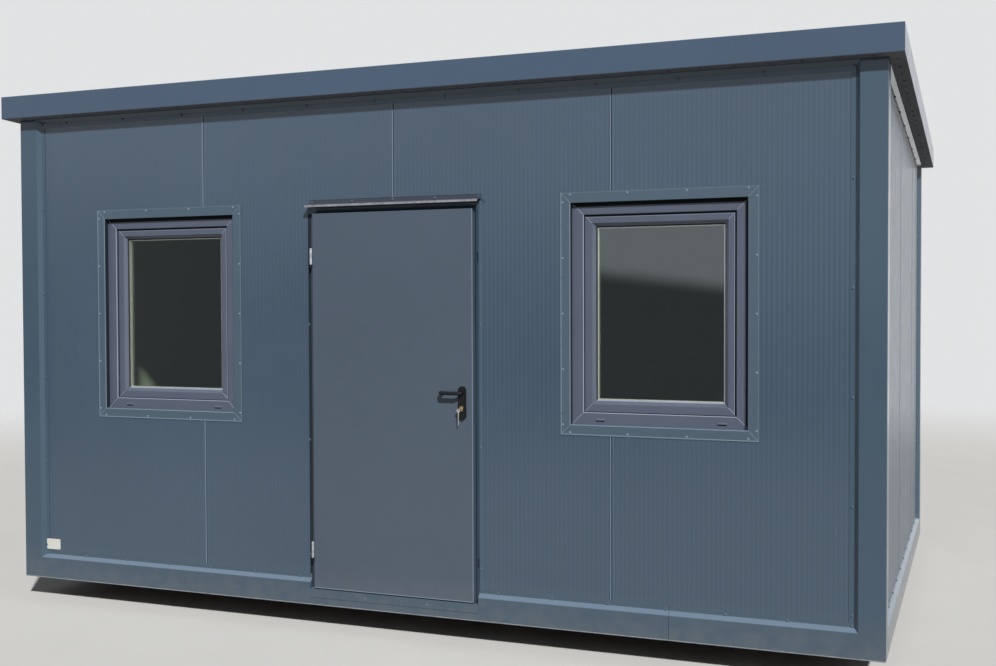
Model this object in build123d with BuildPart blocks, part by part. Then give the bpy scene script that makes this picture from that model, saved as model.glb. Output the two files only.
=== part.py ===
from build123d import *

import os
from math import atan, cos, sin, tan

os.makedirs("parts", exist_ok=True)

# Portable site cabin: a welded frame of folded steel, sandwich panel walls, a mono-pitch roof
# with a folded fascia, one outward opening steel door and two windows in the front wall.
# Millimetres. +X is to the right seen from the front, +Y goes in through the door, +Z is up.
# The origin is at ground level under the middle of the cabin.

# Overall sizes
length = 4800.0
depth = 3200.0
ground_gap = 130.0
soffit_height = 2650.0
roof_fall = 155.0
roof_overhang = 70.0

# Folded steel frame, the same section for rails and posts
frame_sheet = 3.0
frame_flat = 119.0
frame_slope = 20.0
frame_lip = 22.0
frame_flange = 120.0
frame_bend = 5.0
top_reveal = 4.0
top_rise = 48.0

# Wall and roof sandwich panels
panel_cover = 1150.0
panel_shift = -5.0
wall_panel = 80.0
side_first_joint = 1250.0
roof_panel = 60.0
roof_panel_count = 5
ribs_per_panel = 4
rib_foot = 62.0
rib_side_angle = 45.0
tongue_thickness = 24.0
tongue_length = 14.0
joint_gap = 2.0
joint_bevel = 3.0
fit_gap = 0.3

# Roof edge
fascia_height = 128.0
fascia_sheet = 2.0
fascia_return = 34.0
fascia_bend = 4.0

# Floor and skids
joist_height = 75.0
joist_width = 45.0
joist_sheet = 3.0
joist_count = 9
deck_thickness = 21.0
skid_width = 80.0
skid_sheet = 6.0
skid_bend = 10.0
skid_inset = 350.0
skid_setback = 650.0

# Door
door_middle = -15.0
leaf_width = 906.0
leaf_bottom = 92.0
leaf_top = 2053.0
leaf_thickness = 42.0
leaf_edge_radius = 2.0
leaf_clearance = 6.5
door_frame_face = 20.0
door_frame_set_back = 31.0
door_flange = 14.0
door_flange_sheet = 2.0
door_stop = 18.0
door_frame_proud = 5.0
door_slot_width = 9.0
door_slot_height = 47.0
door_slot_depth = 12.0
door_slot_low = 284.0
door_slot_high = 1810.0
threshold_foot = 41.0
threshold_sheet = 2.0
drip_flange = 20.0
drip_fall = 8.0
drip_reach = 34.0
drip_nose = 10.0
drip_sheet = 2.0
drip_clearance = 15.0

# Door hinges
hinge_height = 84.0
hinge_radius = 7.0
hinge_stand_off = 1.0
hinge_pin_radius = 4.0
hinge_pin_gap = 0.2
hinge_washer = 3.0
hinge_leaf_plate = 2.0
hinge_plate_reach = 30.0
hinge_seat = 6.0
hinge_low = 295.0
hinge_high = 1830.0

# Lock furniture
lock_backset = 55.0
spindle_height = 1137.0
cylinder_drop = 72.0
plate_width = 40.0
plate_height = 168.0
plate_thickness = 10.0
plate_above_spindle = 34.0
spindle_radius = 4.5
lever_radius = 9.5
lever_reach = 44.0
lever_length = 106.0
lever_return = 30.0
lever_bend = 14.0
lever_gap = 0.3
cylinder_radius = 8.5
cylinder_web = 10.0
cylinder_web_drop = 17.0
cylinder_proud = 3.0

# Windows
window_left = -1396.0
window_right = 1366.0
window_middle = 1531.0
window_width = 955.0
window_height = 1170.0
flashing_width = 52.0
flashing_sheet = 2.0
flashing_hem = 4.0
flashing_hem_rise = 1.2
window_recess = 27.0
window_frame_face = 58.0
window_frame_depth = 60.0
window_edge_bevel = 2.5
sash_step = 12.0
sash_face = 54.0
sash_depth = 54.0
sash_bevel = 15.0
glass_set_back = 22.0
glass_thickness = 24.0
glass_bite = 7.0

# Worked out from the above
pitch = atan(roof_fall / (depth + 2 * roof_overhang))
fall = tan(pitch)
panel_face = frame_slope + frame_sheet
wall_inside = panel_face + wall_panel
deck_under = frame_sheet + joist_height
deck_top = deck_under + deck_thickness
rib_height = fascia_height - fascia_sheet - fit_gap - top_rise - roof_panel
deck_notch = leaf_thickness + leaf_clearance + threshold_sheet


def soffit(y):
    """Height of the soffit above the frame's underside at a distance y from the middle."""
    return soffit_height - (y + depth / 2 + roof_overhang) * fall


def wall_plane(side):
    """A wall's outer frame face: x along it to the right seen from outside, y up, z out."""
    places = {
        "front": ((0, -depth / 2, ground_gap), (1, 0, 0), (0, -1, 0)),
        "right": ((length / 2, 0, ground_gap), (0, 1, 0), (1, 0, 0)),
        "rear": ((0, depth / 2, ground_gap), (-1, 0, 0), (0, 1, 0)),
        "left": ((-length / 2, 0, ground_gap), (0, -1, 0), (-1, 0, 0)),
    }
    origin, along, out = places[side]
    return Plane(origin=origin, x_dir=along, z_dir=out)


def span(side):
    """Length of a wall's frame face."""
    return length if side in ("front", "rear") else depth


def section_plane(side, start, height=0.0):
    """A cross-section of a wall: x is depth inwards from the frame face, y is up."""
    wall = wall_plane(side)
    origin = wall.origin + wall.x_dir * start + wall.y_dir * height
    return Plane(origin=origin, x_dir=-wall.z_dir, z_dir=wall.x_dir)


def mitre(corner, run, meets):
    """The plane that halves the angle between two members; its normal points along run."""
    return Plane(origin=corner, z_dir=run - meets)


def corner_point(side, end, height):
    """A frame corner at the left (-1) or right (1) end of a wall."""
    wall = wall_plane(side)
    return wall.origin + wall.x_dir * (end * span(side) / 2) + wall.y_dir * height


def finish(piece, name):
    """Label a finished piece and write it to its file."""
    piece.part.label = name
    export_step(piece.part, f"parts/{name}.step")


UP = Vector(0, 0, 1)
roof_under = Plane(
    origin=(0, 0, ground_gap + soffit(0) + top_rise),
    x_dir=(1, 0, 0),
    z_dir=(0, sin(pitch), cos(pitch)),
)


def folded_face(points, sheet, bend):
    """A folded sheet's section, with its thickness on the right of the path."""
    with BuildLine() as outline:
        FilletPolyline(*points, radius=bend)
        offset(amount=sheet, side=Side.RIGHT, kind=Kind.INTERSECTION)
    make_face(outline.edges())


# Bottom rails: flange, flat face, slope and screwed lip, mitred with the posts and each other
SIDES = ("front", "right", "rear", "left")
door_left = door_middle - leaf_width / 2
door_right = door_middle + leaf_width / 2
frame_left = door_left - leaf_clearance - door_frame_face
frame_right = door_right + leaf_clearance + door_frame_face
frame_top = leaf_top + leaf_clearance + door_frame_face
tread_low = leaf_bottom - leaf_clearance


def bottom_rail(side):
    """One bottom rail of the frame, cut to its three-way mitres."""
    run = wall_plane(side).x_dir
    inward = -wall_plane(side).z_dir
    points = (
        (frame_flange, 0),
        (0, 0),
        (0, frame_flat),
        (frame_slope, frame_flat + frame_slope),
        (frame_slope, frame_flat + frame_slope + frame_lip),
    )
    with BuildPart() as rail:
        with BuildSketch(section_plane(side, -span(side) / 2)):
            folded_face(points, frame_sheet, frame_bend)
        extrude(amount=span(side))
        for end in (-1, 1):
            corner = corner_point(side, end, 0)
            split(bisect_by=mitre(corner, -end * run, UP), keep=Keep.TOP)
            split(bisect_by=mitre(corner, -end * run, inward), keep=Keep.TOP)
        if side == "front":
            notch_height = frame_flat + frame_slope + frame_lip - tread_low + threshold_sheet
            with BuildSketch(wall_plane(side).offset(1)) as notch:
                with Locations(((frame_left + frame_right) / 2, tread_low - threshold_sheet)):
                    Rectangle(
                        frame_right - frame_left + 2 * fit_gap,
                        notch_height + 1,
                        align=(Align.CENTER, Align.MIN),
                    )
            extrude(notch.sketch, amount=-frame_flange, mode=Mode.SUBTRACT)
    return rail


for side in SIDES:
    finish(bottom_rail(side), f"{side}_bottom_rail")


# Corner posts: the same section folded round both faces of the corner
def corner_post(side):
    """The post at the left end of a wall, which also ends the wall to its left."""
    run = wall_plane(side).x_dir
    back = -wall_plane(side).z_dir
    foot = corner_point(side, -1, 0)
    at_front = foot.Y < 0
    head = foot + UP * (soffit(foot.Y) - top_reveal + frame_flat)
    slope_run = Vector(0, cos(pitch), -sin(pitch)) * (1 if at_front else -1)
    reach = frame_flat + frame_slope
    points = (
        (reach + frame_lip, frame_slope),
        (reach, frame_slope),
        (frame_flat, 0),
        (0, 0),
        (0, frame_flat),
        (frame_slope, reach),
        (frame_slope, reach + frame_lip),
    )
    with BuildPart() as post:
        with BuildSketch(Plane(origin=foot, x_dir=run, z_dir=UP)):
            folded_face(points, frame_sheet, frame_bend)
        extrude(amount=soffit_height + top_rise)
        for level in (run, back):
            split(bisect_by=mitre(foot, UP, level), keep=Keep.TOP)
            top_run = level if abs(level.X) > 0.5 else slope_run
            split(bisect_by=mitre(head, -UP, top_run), keep=Keep.TOP)
        split(bisect_by=roof_under, keep=Keep.BOTTOM)
    return post


POSTS = {"front": "front_left", "right": "front_right", "rear": "rear_right", "left": "rear_left"}
for side, place in POSTS.items():
    finish(corner_post(side), f"{place}_post")


# Top rails: lip, slope, flat face and a flange under the roof panels
def top_rail(side):
    """One top rail. The front and rear ones are level and the side ones follow the roof."""
    wall = wall_plane(side)
    run = wall.x_dir
    inward = -wall.z_dir
    level = side in ("front", "rear")
    flange_fall = 0.0
    if level:
        flange_fall = frame_flange * fall * (1 if side == "front" else -1)
    points = [
        (frame_slope, -top_reveal - frame_slope - frame_lip),
        (frame_slope, -top_reveal - frame_slope),
        (0, -top_reveal),
        (0, top_rise),
        (frame_flange, top_rise - flange_fall),
    ]
    start = corner_point(side, -1, 0)
    start_plane = section_plane(side, -span(side) / 2, soffit(start.Y))
    rail_run = run
    if not level:
        rail_run = (run * cos(pitch) - UP * sin(pitch) * run.Y).normalized()
        start_plane = Plane(origin=start_plane.origin, x_dir=inward, z_dir=rail_run)
        points = [(across, up * cos(pitch)) for across, up in points]
    with BuildPart() as rail:
        with BuildSketch(start_plane.offset(-frame_flat)):
            folded_face(points, frame_sheet, frame_bend)
        extrude(amount=span(side) / abs(rail_run.dot(run)) + 2 * frame_flat)
        for end in (-1, 1):
            place = corner_point(side, end, 0)
            head = place + UP * (soffit(place.Y) - top_reveal + frame_flat)
            split(bisect_by=mitre(head, -end * rail_run, -UP), keep=Keep.TOP)
            split(bisect_by=mitre(place, -end * run, inward), keep=Keep.TOP)
    return rail


for side in SIDES:
    finish(top_rail(side), f"{side}_top_rail")


# Wall panels with a tongue and a groove, standing on the floor deck behind the rails
def wall_slab(side, start, end, foot=deck_top, tongue=False, groove=False):
    """One wall panel between two distances along the wall, up to the top rail's flange."""
    middle = panel_face + wall_panel / 2
    plan = Plane(
        origin=wall_plane(side).origin + UP * foot,
        x_dir=wall_plane(side).x_dir,
        z_dir=UP,
    )
    with BuildPart() as slab:
        with BuildSketch(plan) as section:
            with Locations(((start + end) / 2, middle)):
                Rectangle(end - start, wall_panel)
            if tongue:
                chamfer(section.vertices().group_by(Axis.X)[-1], length=joint_bevel)
            if groove:
                chamfer(section.vertices().group_by(Axis.X)[0], length=joint_bevel)
            if tongue:
                with Locations((end, middle)):
                    Rectangle(tongue_length, tongue_thickness, align=(Align.MIN, Align.CENTER))
            if groove:
                with Locations((start, middle)):
                    Rectangle(
                        tongue_length - joint_gap + 2 * fit_gap,
                        tongue_thickness + 2 * fit_gap,
                        align=(Align.MIN, Align.CENTER),
                        mode=Mode.SUBTRACT,
                    )
        extrude(amount=soffit_height)
        split(bisect_by=roof_under.offset(-frame_sheet), keep=Keep.BOTTOM)
    return slab


opening_width = window_width - 2 * flashing_width
opening_height = window_height - 2 * flashing_width
hole_width = opening_width + 2 * flashing_sheet + 2 * fit_gap
hole_height = opening_height + 2 * flashing_sheet + 2 * fit_gap


def cut_window(slab, middle):
    """The same panel with the window hole that crosses it cut out."""
    with BuildPart() as cut:
        add(slab.part)
        with BuildSketch(wall_plane("front")):
            with Locations((middle, window_middle)):
                Rectangle(hole_width, hole_height)
        extrude(amount=-2 * wall_inside, mode=Mode.SUBTRACT)
    return cut


joints = [panel_shift + panel_cover * step for step in (-1, 0, 1)]
front_start = -length / 2 + panel_face
front_end = length / 2 - panel_face
seam = joint_gap / 2

slab = wall_slab("front", front_start, joints[0] - seam, tongue=True)
finish(cut_window(slab, window_left), "front_wall_left")
slab = wall_slab("front", joints[0] + seam, frame_left, groove=True)
finish(cut_window(slab, window_left), "front_wall_door_left")
slab = wall_slab("front", frame_right, joints[2] - seam, tongue=True)
finish(cut_window(slab, window_right), "front_wall_door_right")
slab = wall_slab("front", joints[2] + seam, front_end, groove=True)
finish(cut_window(slab, window_right), "front_wall_right")

over_left = wall_slab("front", frame_left, joints[1] - seam, foot=frame_top, tongue=True)
over_right = wall_slab("front", joints[1] + seam, frame_right, foot=frame_top, groove=True)
with BuildPart() as over_door:
    add(over_left.part)
    add(over_right.part)
finish(over_door, "front_wall_over_door")


def plain_wall(side, start, end, cuts):
    """A wall of whole panels, joined by tongue and groove at each cut."""
    edges = [start] + list(cuts) + [end]
    with BuildPart() as wall:
        for index in range(len(edges) - 1):
            first = index == 0
            last = index == len(edges) - 2
            slab = wall_slab(
                side,
                edges[index] + (0 if first else seam),
                edges[index + 1] - (0 if last else seam),
                tongue=not last,
                groove=not first,
            )
            add(slab.part)
    return wall


side_start = -depth / 2 + wall_inside
right_joints = [-depth / 2 + side_first_joint + panel_cover * step for step in (0, 1)]
left_joints = [-place for place in reversed(right_joints)]
finish(plain_wall("rear", front_start, front_end, [-place for place in reversed(joints)]), "rear_wall")
finish(plain_wall("right", side_start, -side_start, right_joints), "right_wall")
finish(plain_wall("left", side_start, -side_start, left_joints), "left_wall")


# Roof panels with trapezoid ribs that run down the fall, resting on the top rails' flanges
roof_side = roof_overhang - fascia_bend - fit_gap
roof_length = (depth + 4 * roof_overhang) / cos(pitch)
roof_width = length + 2 * roof_side
cover = roof_width / roof_panel_count
roof_rear = roof_under.origin + roof_under.y_dir * (roof_length / 2)
with BuildPart() as roof_panels:
    with BuildSketch(Plane(origin=roof_rear, x_dir=(1, 0, 0), z_dir=-roof_under.y_dir)):
        with Locations((0, roof_panel * cos(pitch) / 2)):
            with GridLocations(cover, 1, roof_panel_count, 1):
                Rectangle(cover - joint_gap, roof_panel * cos(pitch))
        with Locations((0, (roof_panel + rib_height / 2) * cos(pitch))):
            with GridLocations(cover / ribs_per_panel, 1, roof_panel_count * ribs_per_panel, 1):
                Trapezoid(rib_foot, rib_height * cos(pitch), rib_side_angle)
    extrude(amount=roof_length)
    split(bisect_by=Plane.XZ.offset(depth / 2 + roof_side), keep=Keep.BOTTOM)
    split(bisect_by=Plane.XZ.offset(-depth / 2 - roof_side), keep=Keep.TOP)
finish(roof_panels, "roof_panels")


# Fascia: a folded edge with its soffit, mitred at the corners
def fascia(side):
    """One side of the roof edge: soffit, face and top return."""
    wall = wall_plane(side)
    run = wall.x_dir
    inward = -wall.z_dir
    level = side in ("front", "rear")
    rise = 0.0
    if level:
        rise = fall * (1 if side == "front" else -1)
    points = [
        (-fit_gap, 0),
        (-roof_overhang, roof_overhang * rise),
        (-roof_overhang, roof_overhang * rise + fascia_height),
        (fascia_return - roof_overhang, (roof_overhang - fascia_return) * rise + fascia_height),
    ]
    start = corner_point(side, -1, 0)
    start_plane = section_plane(side, -span(side) / 2, soffit(start.Y))
    fascia_run = run
    if not level:
        fascia_run = (run * cos(pitch) - UP * sin(pitch) * run.Y).normalized()
        start_plane = Plane(origin=start_plane.origin, x_dir=inward, z_dir=fascia_run)
        points = [(across, up * cos(pitch)) for across, up in points]
    with BuildPart() as edge:
        with BuildSketch(start_plane.offset(-2 * roof_overhang)):
            folded_face(points, fascia_sheet, fascia_bend)
        extrude(amount=span(side) / abs(fascia_run.dot(run)) + 4 * roof_overhang)
        for end in (-1, 1):
            place = corner_point(side, end, 0) + wall.z_dir * roof_overhang + run * end * roof_overhang
            split(bisect_by=mitre(place, -end * run, inward), keep=Keep.TOP)
    return edge


for side in SIDES:
    finish(fascia(side), f"{side}_fascia")


# Floor: C-section joists on the bottom rails' flanges, a plywood deck over them, two skids
joist_clear = frame_sheet + 2.0
joist_span = depth - 2 * joist_clear
joist_pitch = (length - 2 * frame_flange) / (joist_count - 1)
with BuildPart() as floor_joists:
    joist_start = Plane(
        origin=(0, -joist_span / 2, ground_gap + frame_sheet),
        x_dir=(-1, 0, 0),
        z_dir=(0, 1, 0),
    )
    with BuildSketch(joist_start):
        with GridLocations(joist_pitch, 1, joist_count, 1):
            with Locations((0, joist_height / 2)):
                Rectangle(joist_width, joist_height)
            with Locations((joist_sheet, joist_height / 2)):
                Rectangle(joist_width, joist_height - 2 * joist_sheet, mode=Mode.SUBTRACT)
    extrude(amount=joist_span)
finish(floor_joists, "floor_joists")

with BuildPart() as floor_deck:
    with BuildSketch(Plane.XY.offset(ground_gap + deck_under)):
        Rectangle(length - 2 * joist_clear, joist_span)
        with Locations(((frame_left + frame_right) / 2, -depth / 2)):
            Rectangle(
                frame_right - frame_left + 2 * fit_gap,
                2 * (deck_notch + fit_gap),
                mode=Mode.SUBTRACT,
            )
    extrude(amount=deck_thickness)
finish(floor_deck, "floor_deck")

skid_height = ground_gap + frame_sheet
with BuildPart() as skids:
    for face in (-1, 1):
        path = (
            (-face * skid_width, skid_height),
            (0, skid_height),
            (0, 0),
            (-face * skid_width, 0),
        )
        origin = (-length / 2 + skid_inset, face * (depth / 2 - skid_setback), 0)
        with BuildSketch(Plane(origin=origin, x_dir=(0, 1, 0), z_dir=(1, 0, 0))):
            with BuildLine():
                FilletPolyline(*path, radius=skid_bend)
                offset(
                    amount=skid_sheet,
                    side=Side.RIGHT if face > 0 else Side.LEFT,
                    kind=Kind.INTERSECTION,
                )
            make_face()
        extrude(amount=length - 2 * skid_inset)
finish(skids, "skids")


# Door frame: a rebated portal on the folded threshold, with a sloping face, a flange that lies
# on the panels, cheeks that close the rail's cut ends and slots for hinges of the other hand
door_plane = wall_plane("front")
rebate = leaf_thickness + leaf_clearance
frame_back = wall_inside + door_frame_proud
flange_near = panel_face - door_flange_sheet
tread_high = deck_top + threshold_sheet
rail_top = frame_flat + frame_slope + frame_lip
with BuildPart() as door_frame:
    for near, far, foot, inset in (
        (flange_near, rebate, tread_low, -leaf_clearance),
        (rebate, frame_back, tread_high, door_stop),
    ):
        with BuildSketch(door_plane.offset(-near)):
            with Locations(((frame_left + frame_right) / 2, foot)):
                Rectangle(
                    frame_right - frame_left,
                    frame_top - foot,
                    align=(Align.CENTER, Align.MIN),
                )
            with Locations((door_middle, foot)):
                Rectangle(
                    leaf_width - 2 * inset,
                    leaf_top - inset - foot,
                    align=(Align.CENTER, Align.MIN),
                    mode=Mode.SUBTRACT,
                )
        extrude(amount=near - far)
    for near, face in ((flange_near, door_frame_face), (door_frame_set_back, 0)):
        with BuildSketch(door_plane.offset(-near)):
            with Locations((door_middle, 0)):
                Rectangle(
                    leaf_width + 2 * (leaf_clearance + face),
                    leaf_top + leaf_clearance + face,
                    align=(Align.CENTER, Align.MIN),
                )
    loft(mode=Mode.SUBTRACT)
    with BuildSketch(door_plane.offset(-flange_near)):
        with Locations((door_middle, rail_top + fit_gap)):
            Rectangle(
                frame_right - frame_left + 2 * door_flange,
                frame_top + door_flange - rail_top - fit_gap,
                align=(Align.CENTER, Align.MIN),
            )
        with Locations((door_middle, 0)):
            Rectangle(
                frame_right - frame_left,
                frame_top,
                align=(Align.CENTER, Align.MIN),
                mode=Mode.SUBTRACT,
            )
    extrude(amount=-door_flange_sheet)
    for start in (frame_left, frame_right - door_flange_sheet):
        with BuildSketch(section_plane("front", start)):
            with BuildLine():
                Polyline(
                    (0, tread_low),
                    (0, frame_flat),
                    (frame_slope, frame_flat + frame_slope),
                    (frame_slope, rail_top),
                    (panel_face, rail_top),
                    (panel_face, tread_low),
                    close=True,
                )
            make_face()
        extrude(amount=door_flange_sheet)
    with BuildSketch(door_plane.offset(-flange_near)):
        for middle in (door_slot_low, door_slot_high):
            with Locations((door_right + leaf_clearance + door_frame_face / 2, middle)):
                Rectangle(door_slot_width, door_slot_height)
    extrude(amount=flange_near - door_frame_set_back - door_slot_depth, mode=Mode.SUBTRACT)
finish(door_frame, "door_frame")

with BuildPart() as door_threshold:
    points = (
        (-threshold_sheet, threshold_foot),
        (-threshold_sheet, tread_low),
        (rebate, tread_low),
        (rebate, tread_high),
        (frame_back, tread_high),
    )
    with BuildSketch(section_plane("front", frame_left)):
        with BuildLine():
            Polyline(*points)
            offset(amount=threshold_sheet, side=Side.RIGHT, kind=Kind.INTERSECTION)
        make_face()
    extrude(amount=frame_right - frame_left)
finish(door_threshold, "door_threshold")

with BuildPart() as door_drip:
    drip_foot = frame_top + drip_clearance
    points = (
        (-drip_reach, drip_foot - drip_nose),
        (-drip_reach, drip_foot),
        (panel_face - drip_sheet, drip_foot + drip_fall),
        (panel_face - drip_sheet, drip_foot + drip_fall + drip_flange),
    )
    with BuildSketch(section_plane("front", frame_left)):
        with BuildLine():
            Polyline(*points)
            offset(amount=drip_sheet, side=Side.RIGHT, kind=Kind.INTERSECTION)
        make_face()
    extrude(amount=frame_right + door_flange - frame_left)
finish(door_drip, "door_drip")


# Door leaf: a flat folded steel leaf with lightly rounded outer edges
leaf_height = leaf_top - leaf_bottom
lock_across = door_right - lock_backset
cylinder_height = spindle_height - cylinder_drop
with BuildPart() as door_leaf:
    with BuildSketch(door_plane):
        with Locations((door_middle, leaf_bottom)):
            Rectangle(leaf_width, leaf_height, align=(Align.CENTER, Align.MIN))
        with Locations((lock_across, spindle_height)):
            Circle(spindle_radius + leaf_clearance, mode=Mode.SUBTRACT)
        with Locations((lock_across, cylinder_height)):
            Circle(cylinder_radius + fit_gap, mode=Mode.SUBTRACT)
            Rectangle(
                cylinder_web + 2 * fit_gap,
                cylinder_web_drop + fit_gap,
                align=(Align.CENTER, Align.MAX),
                mode=Mode.SUBTRACT,
            )
    extrude(amount=-leaf_thickness)
    rim = door_leaf.faces().sort_by(Axis.Y)[0].outer_wire().edges()
    fillet(rim, radius=leaf_edge_radius)
finish(door_leaf, "door_leaf")

# Lift-off hinges: the lower half with the pin is on the frame, the upper half on the leaf
hinge_across = door_left - leaf_clearance / 2
hinge_line = -depth / 2 - hinge_radius - hinge_stand_off
knuckle = hinge_height / 2 - hinge_washer / 2
with BuildPart() as hinge_frame_halves:
    for middle in (hinge_low, hinge_high):
        foot = Plane.XY.offset(ground_gap + middle - hinge_height / 2)
        with BuildSketch(foot):
            with Locations((hinge_across, hinge_line)):
                Circle(hinge_radius)
            with Locations((door_left - leaf_clearance, hinge_line)):
                Rectangle(
                    hinge_leaf_plate,
                    hinge_radius + hinge_stand_off + door_frame_set_back + hinge_seat,
                    align=(Align.MIN, Align.MIN),
                )
        extrude(amount=knuckle)
        with BuildSketch(foot):
            with Locations((hinge_across, hinge_line)):
                Circle(hinge_pin_radius)
        extrude(amount=hinge_height - hinge_washer)
finish(hinge_frame_halves, "hinge_frame_halves")

with BuildPart() as hinge_leaf_halves:
    for middle in (hinge_low, hinge_high):
        with BuildSketch(Plane.XY.offset(ground_gap + middle + hinge_washer / 2)):
            with Locations((hinge_across, hinge_line)):
                Circle(hinge_radius)
            with Locations((door_left, hinge_line)):
                Rectangle(
                    hinge_leaf_plate,
                    hinge_radius + hinge_plate_reach,
                    align=(Align.MAX, Align.MIN),
                )
            with Locations((hinge_across, hinge_line)):
                Circle(hinge_pin_radius + hinge_pin_gap, mode=Mode.SUBTRACT)
        extrude(amount=knuckle)
finish(hinge_leaf_halves, "hinge_leaf_halves")

# Lock furniture: a long plate on each face of the leaf, with the levers on one spindle
plate_middle = spindle_height + plate_above_spindle - plate_height / 2
with BuildPart() as lock_plates:
    for near, far in ((-plate_thickness, 0), (leaf_thickness, leaf_thickness + plate_thickness)):
        with BuildSketch(door_plane.offset(-near)):
            with Locations((lock_across, plate_middle)):
                SlotOverall(plate_height, plate_width, rotation=90)
            with Locations((lock_across, spindle_height)):
                Circle(lever_radius + lever_gap, mode=Mode.SUBTRACT)
            with Locations((lock_across, cylinder_height)):
                Circle(cylinder_radius + fit_gap, mode=Mode.SUBTRACT)
                Rectangle(
                    cylinder_web + 2 * fit_gap,
                    cylinder_web_drop + fit_gap,
                    align=(Align.CENTER, Align.MAX),
                    mode=Mode.SUBTRACT,
                )
        extrude(amount=near - far)
finish(lock_plates, "lock_plates")

with BuildPart() as lock_cylinder:
    with BuildSketch(door_plane.offset(plate_thickness + cylinder_proud)):
        with Locations((lock_across, cylinder_height)):
            Circle(cylinder_radius)
            Rectangle(cylinder_web, cylinder_web_drop, align=(Align.CENTER, Align.MAX))
    extrude(amount=-leaf_thickness - 2 * (plate_thickness + cylinder_proud))
finish(lock_cylinder, "lock_cylinder")


with BuildPart() as door_lever:
    for out in (1, -1):
        face = 0 if out > 0 else -leaf_thickness
        middle = door_plane.origin + door_plane.x_dir * lock_across
        middle = middle + door_plane.y_dir * spindle_height - door_plane.z_dir * (leaf_thickness / 2)
        elbow = middle + door_plane.z_dir * out * (leaf_thickness / 2 + lever_reach)
        neck = middle + door_plane.z_dir * out * (leaf_thickness / 2 + plate_thickness / 2)
        tip = elbow - door_plane.x_dir * lever_length
        end = tip - door_plane.z_dir * out * lever_return
        outwards = door_plane.z_dir * out * lever_bend
        across = door_plane.x_dir * lever_bend
        with BuildLine():
            path = Polyline(
                neck,
                elbow - outwards,
                elbow - across,
                tip + across,
                tip - outwards,
                end,
            )
        with BuildSketch(Plane(origin=neck, z_dir=door_plane.z_dir * out)):
            Circle(lever_radius)
        sweep(path=path, transition=Transition.RIGHT)
    with BuildSketch(door_plane.offset(plate_thickness)):
        with Locations((lock_across, spindle_height)):
            Circle(spindle_radius)
    extrude(amount=-leaf_thickness - 2 * plate_thickness)
finish(door_lever, "door_lever")


# Windows: flashing round the cut-out, plastic frame, sash and double glazing
frame_near = panel_face + window_recess
sash_near = frame_near + sash_step
glass_near = sash_near + glass_set_back


def ring(plane, middle, outer, width, near, far):
    """A rectangular ring between two depths behind the frame face."""
    with BuildSketch(plane.offset(-near)) as face:
        with Locations((middle, window_middle)):
            Rectangle(outer[0], outer[1])
            Rectangle(outer[0] - 2 * width, outer[1] - 2 * width, mode=Mode.SUBTRACT)
    extrude(face.sketch, amount=near - far)


def window(name, middle):
    """The four pieces of one window."""
    face = wall_plane("front")
    outer = (window_width, window_height)
    lining = (opening_width + 2 * flashing_sheet, opening_height + 2 * flashing_sheet)
    flat_near = panel_face - flashing_sheet
    with BuildPart() as flashing:
        ring(face, middle, outer, flashing_width, flat_near, panel_face)
        ring(face, middle, outer, flashing_hem, flat_near - flashing_hem_rise, flat_near)
        ring(face, middle, lining, flashing_sheet, flat_near, frame_near)
    finish(flashing, f"{name}_flashing")
    frame_outer = (opening_width - 2 * fit_gap, opening_height - 2 * fit_gap)
    with BuildPart() as frame:
        ring(face, middle, frame_outer, window_frame_face, frame_near, frame_near + window_frame_depth)
        chamfer(frame.faces().sort_by(Axis.Y)[0].inner_wires()[0].edges(), length=window_edge_bevel)
    finish(frame, f"{name}_frame")
    sash_width = frame_outer[0] - 2 * window_frame_face - 2 * fit_gap
    sash_height = frame_outer[1] - 2 * window_frame_face - 2 * fit_gap
    with BuildPart() as sash:
        ring(face, middle, (sash_width, sash_height), sash_face, sash_near, glass_near)
        ring(face, middle, (sash_width, sash_height), sash_face - glass_bite, glass_near, sash_near + sash_depth)
        chamfer(sash.faces().sort_by(Axis.Y)[0].outer_wire().edges(), length=window_edge_bevel)
        chamfer(sash.faces().sort_by(Axis.Y)[0].inner_wires()[0].edges(), length=sash_bevel)
    finish(sash, f"{name}_sash")
    glass_width = sash_width - 2 * sash_face + 2 * glass_bite - 2 * fit_gap
    glass_height = sash_height - 2 * sash_face + 2 * glass_bite - 2 * fit_gap
    with BuildPart() as glass:
        with BuildSketch(face.offset(-glass_near)):
            with Locations((middle, window_middle)):
                Rectangle(glass_width, glass_height)
        extrude(amount=-glass_thickness)
    finish(glass, f"{name}_glass")


window("left_window", window_left)
window("right_window", window_right)
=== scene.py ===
# %% [markdown]
# # A portable site cabin
#
# A site cabin is a room that is brought to its place in one piece: a frame of folded steel,
# walls of insulated panels, a roof with a slight fall, a steel door and plastic windows. The
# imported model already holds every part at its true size. This lesson gives them their finish
# and adds what is too small for the drawing office: the fine ribs of the panels, screws,
# rivets, seals and keys.

from math import cos, pi, radians, sin

import bmesh
import bpy
from mathutils import Matrix, Vector


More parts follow.
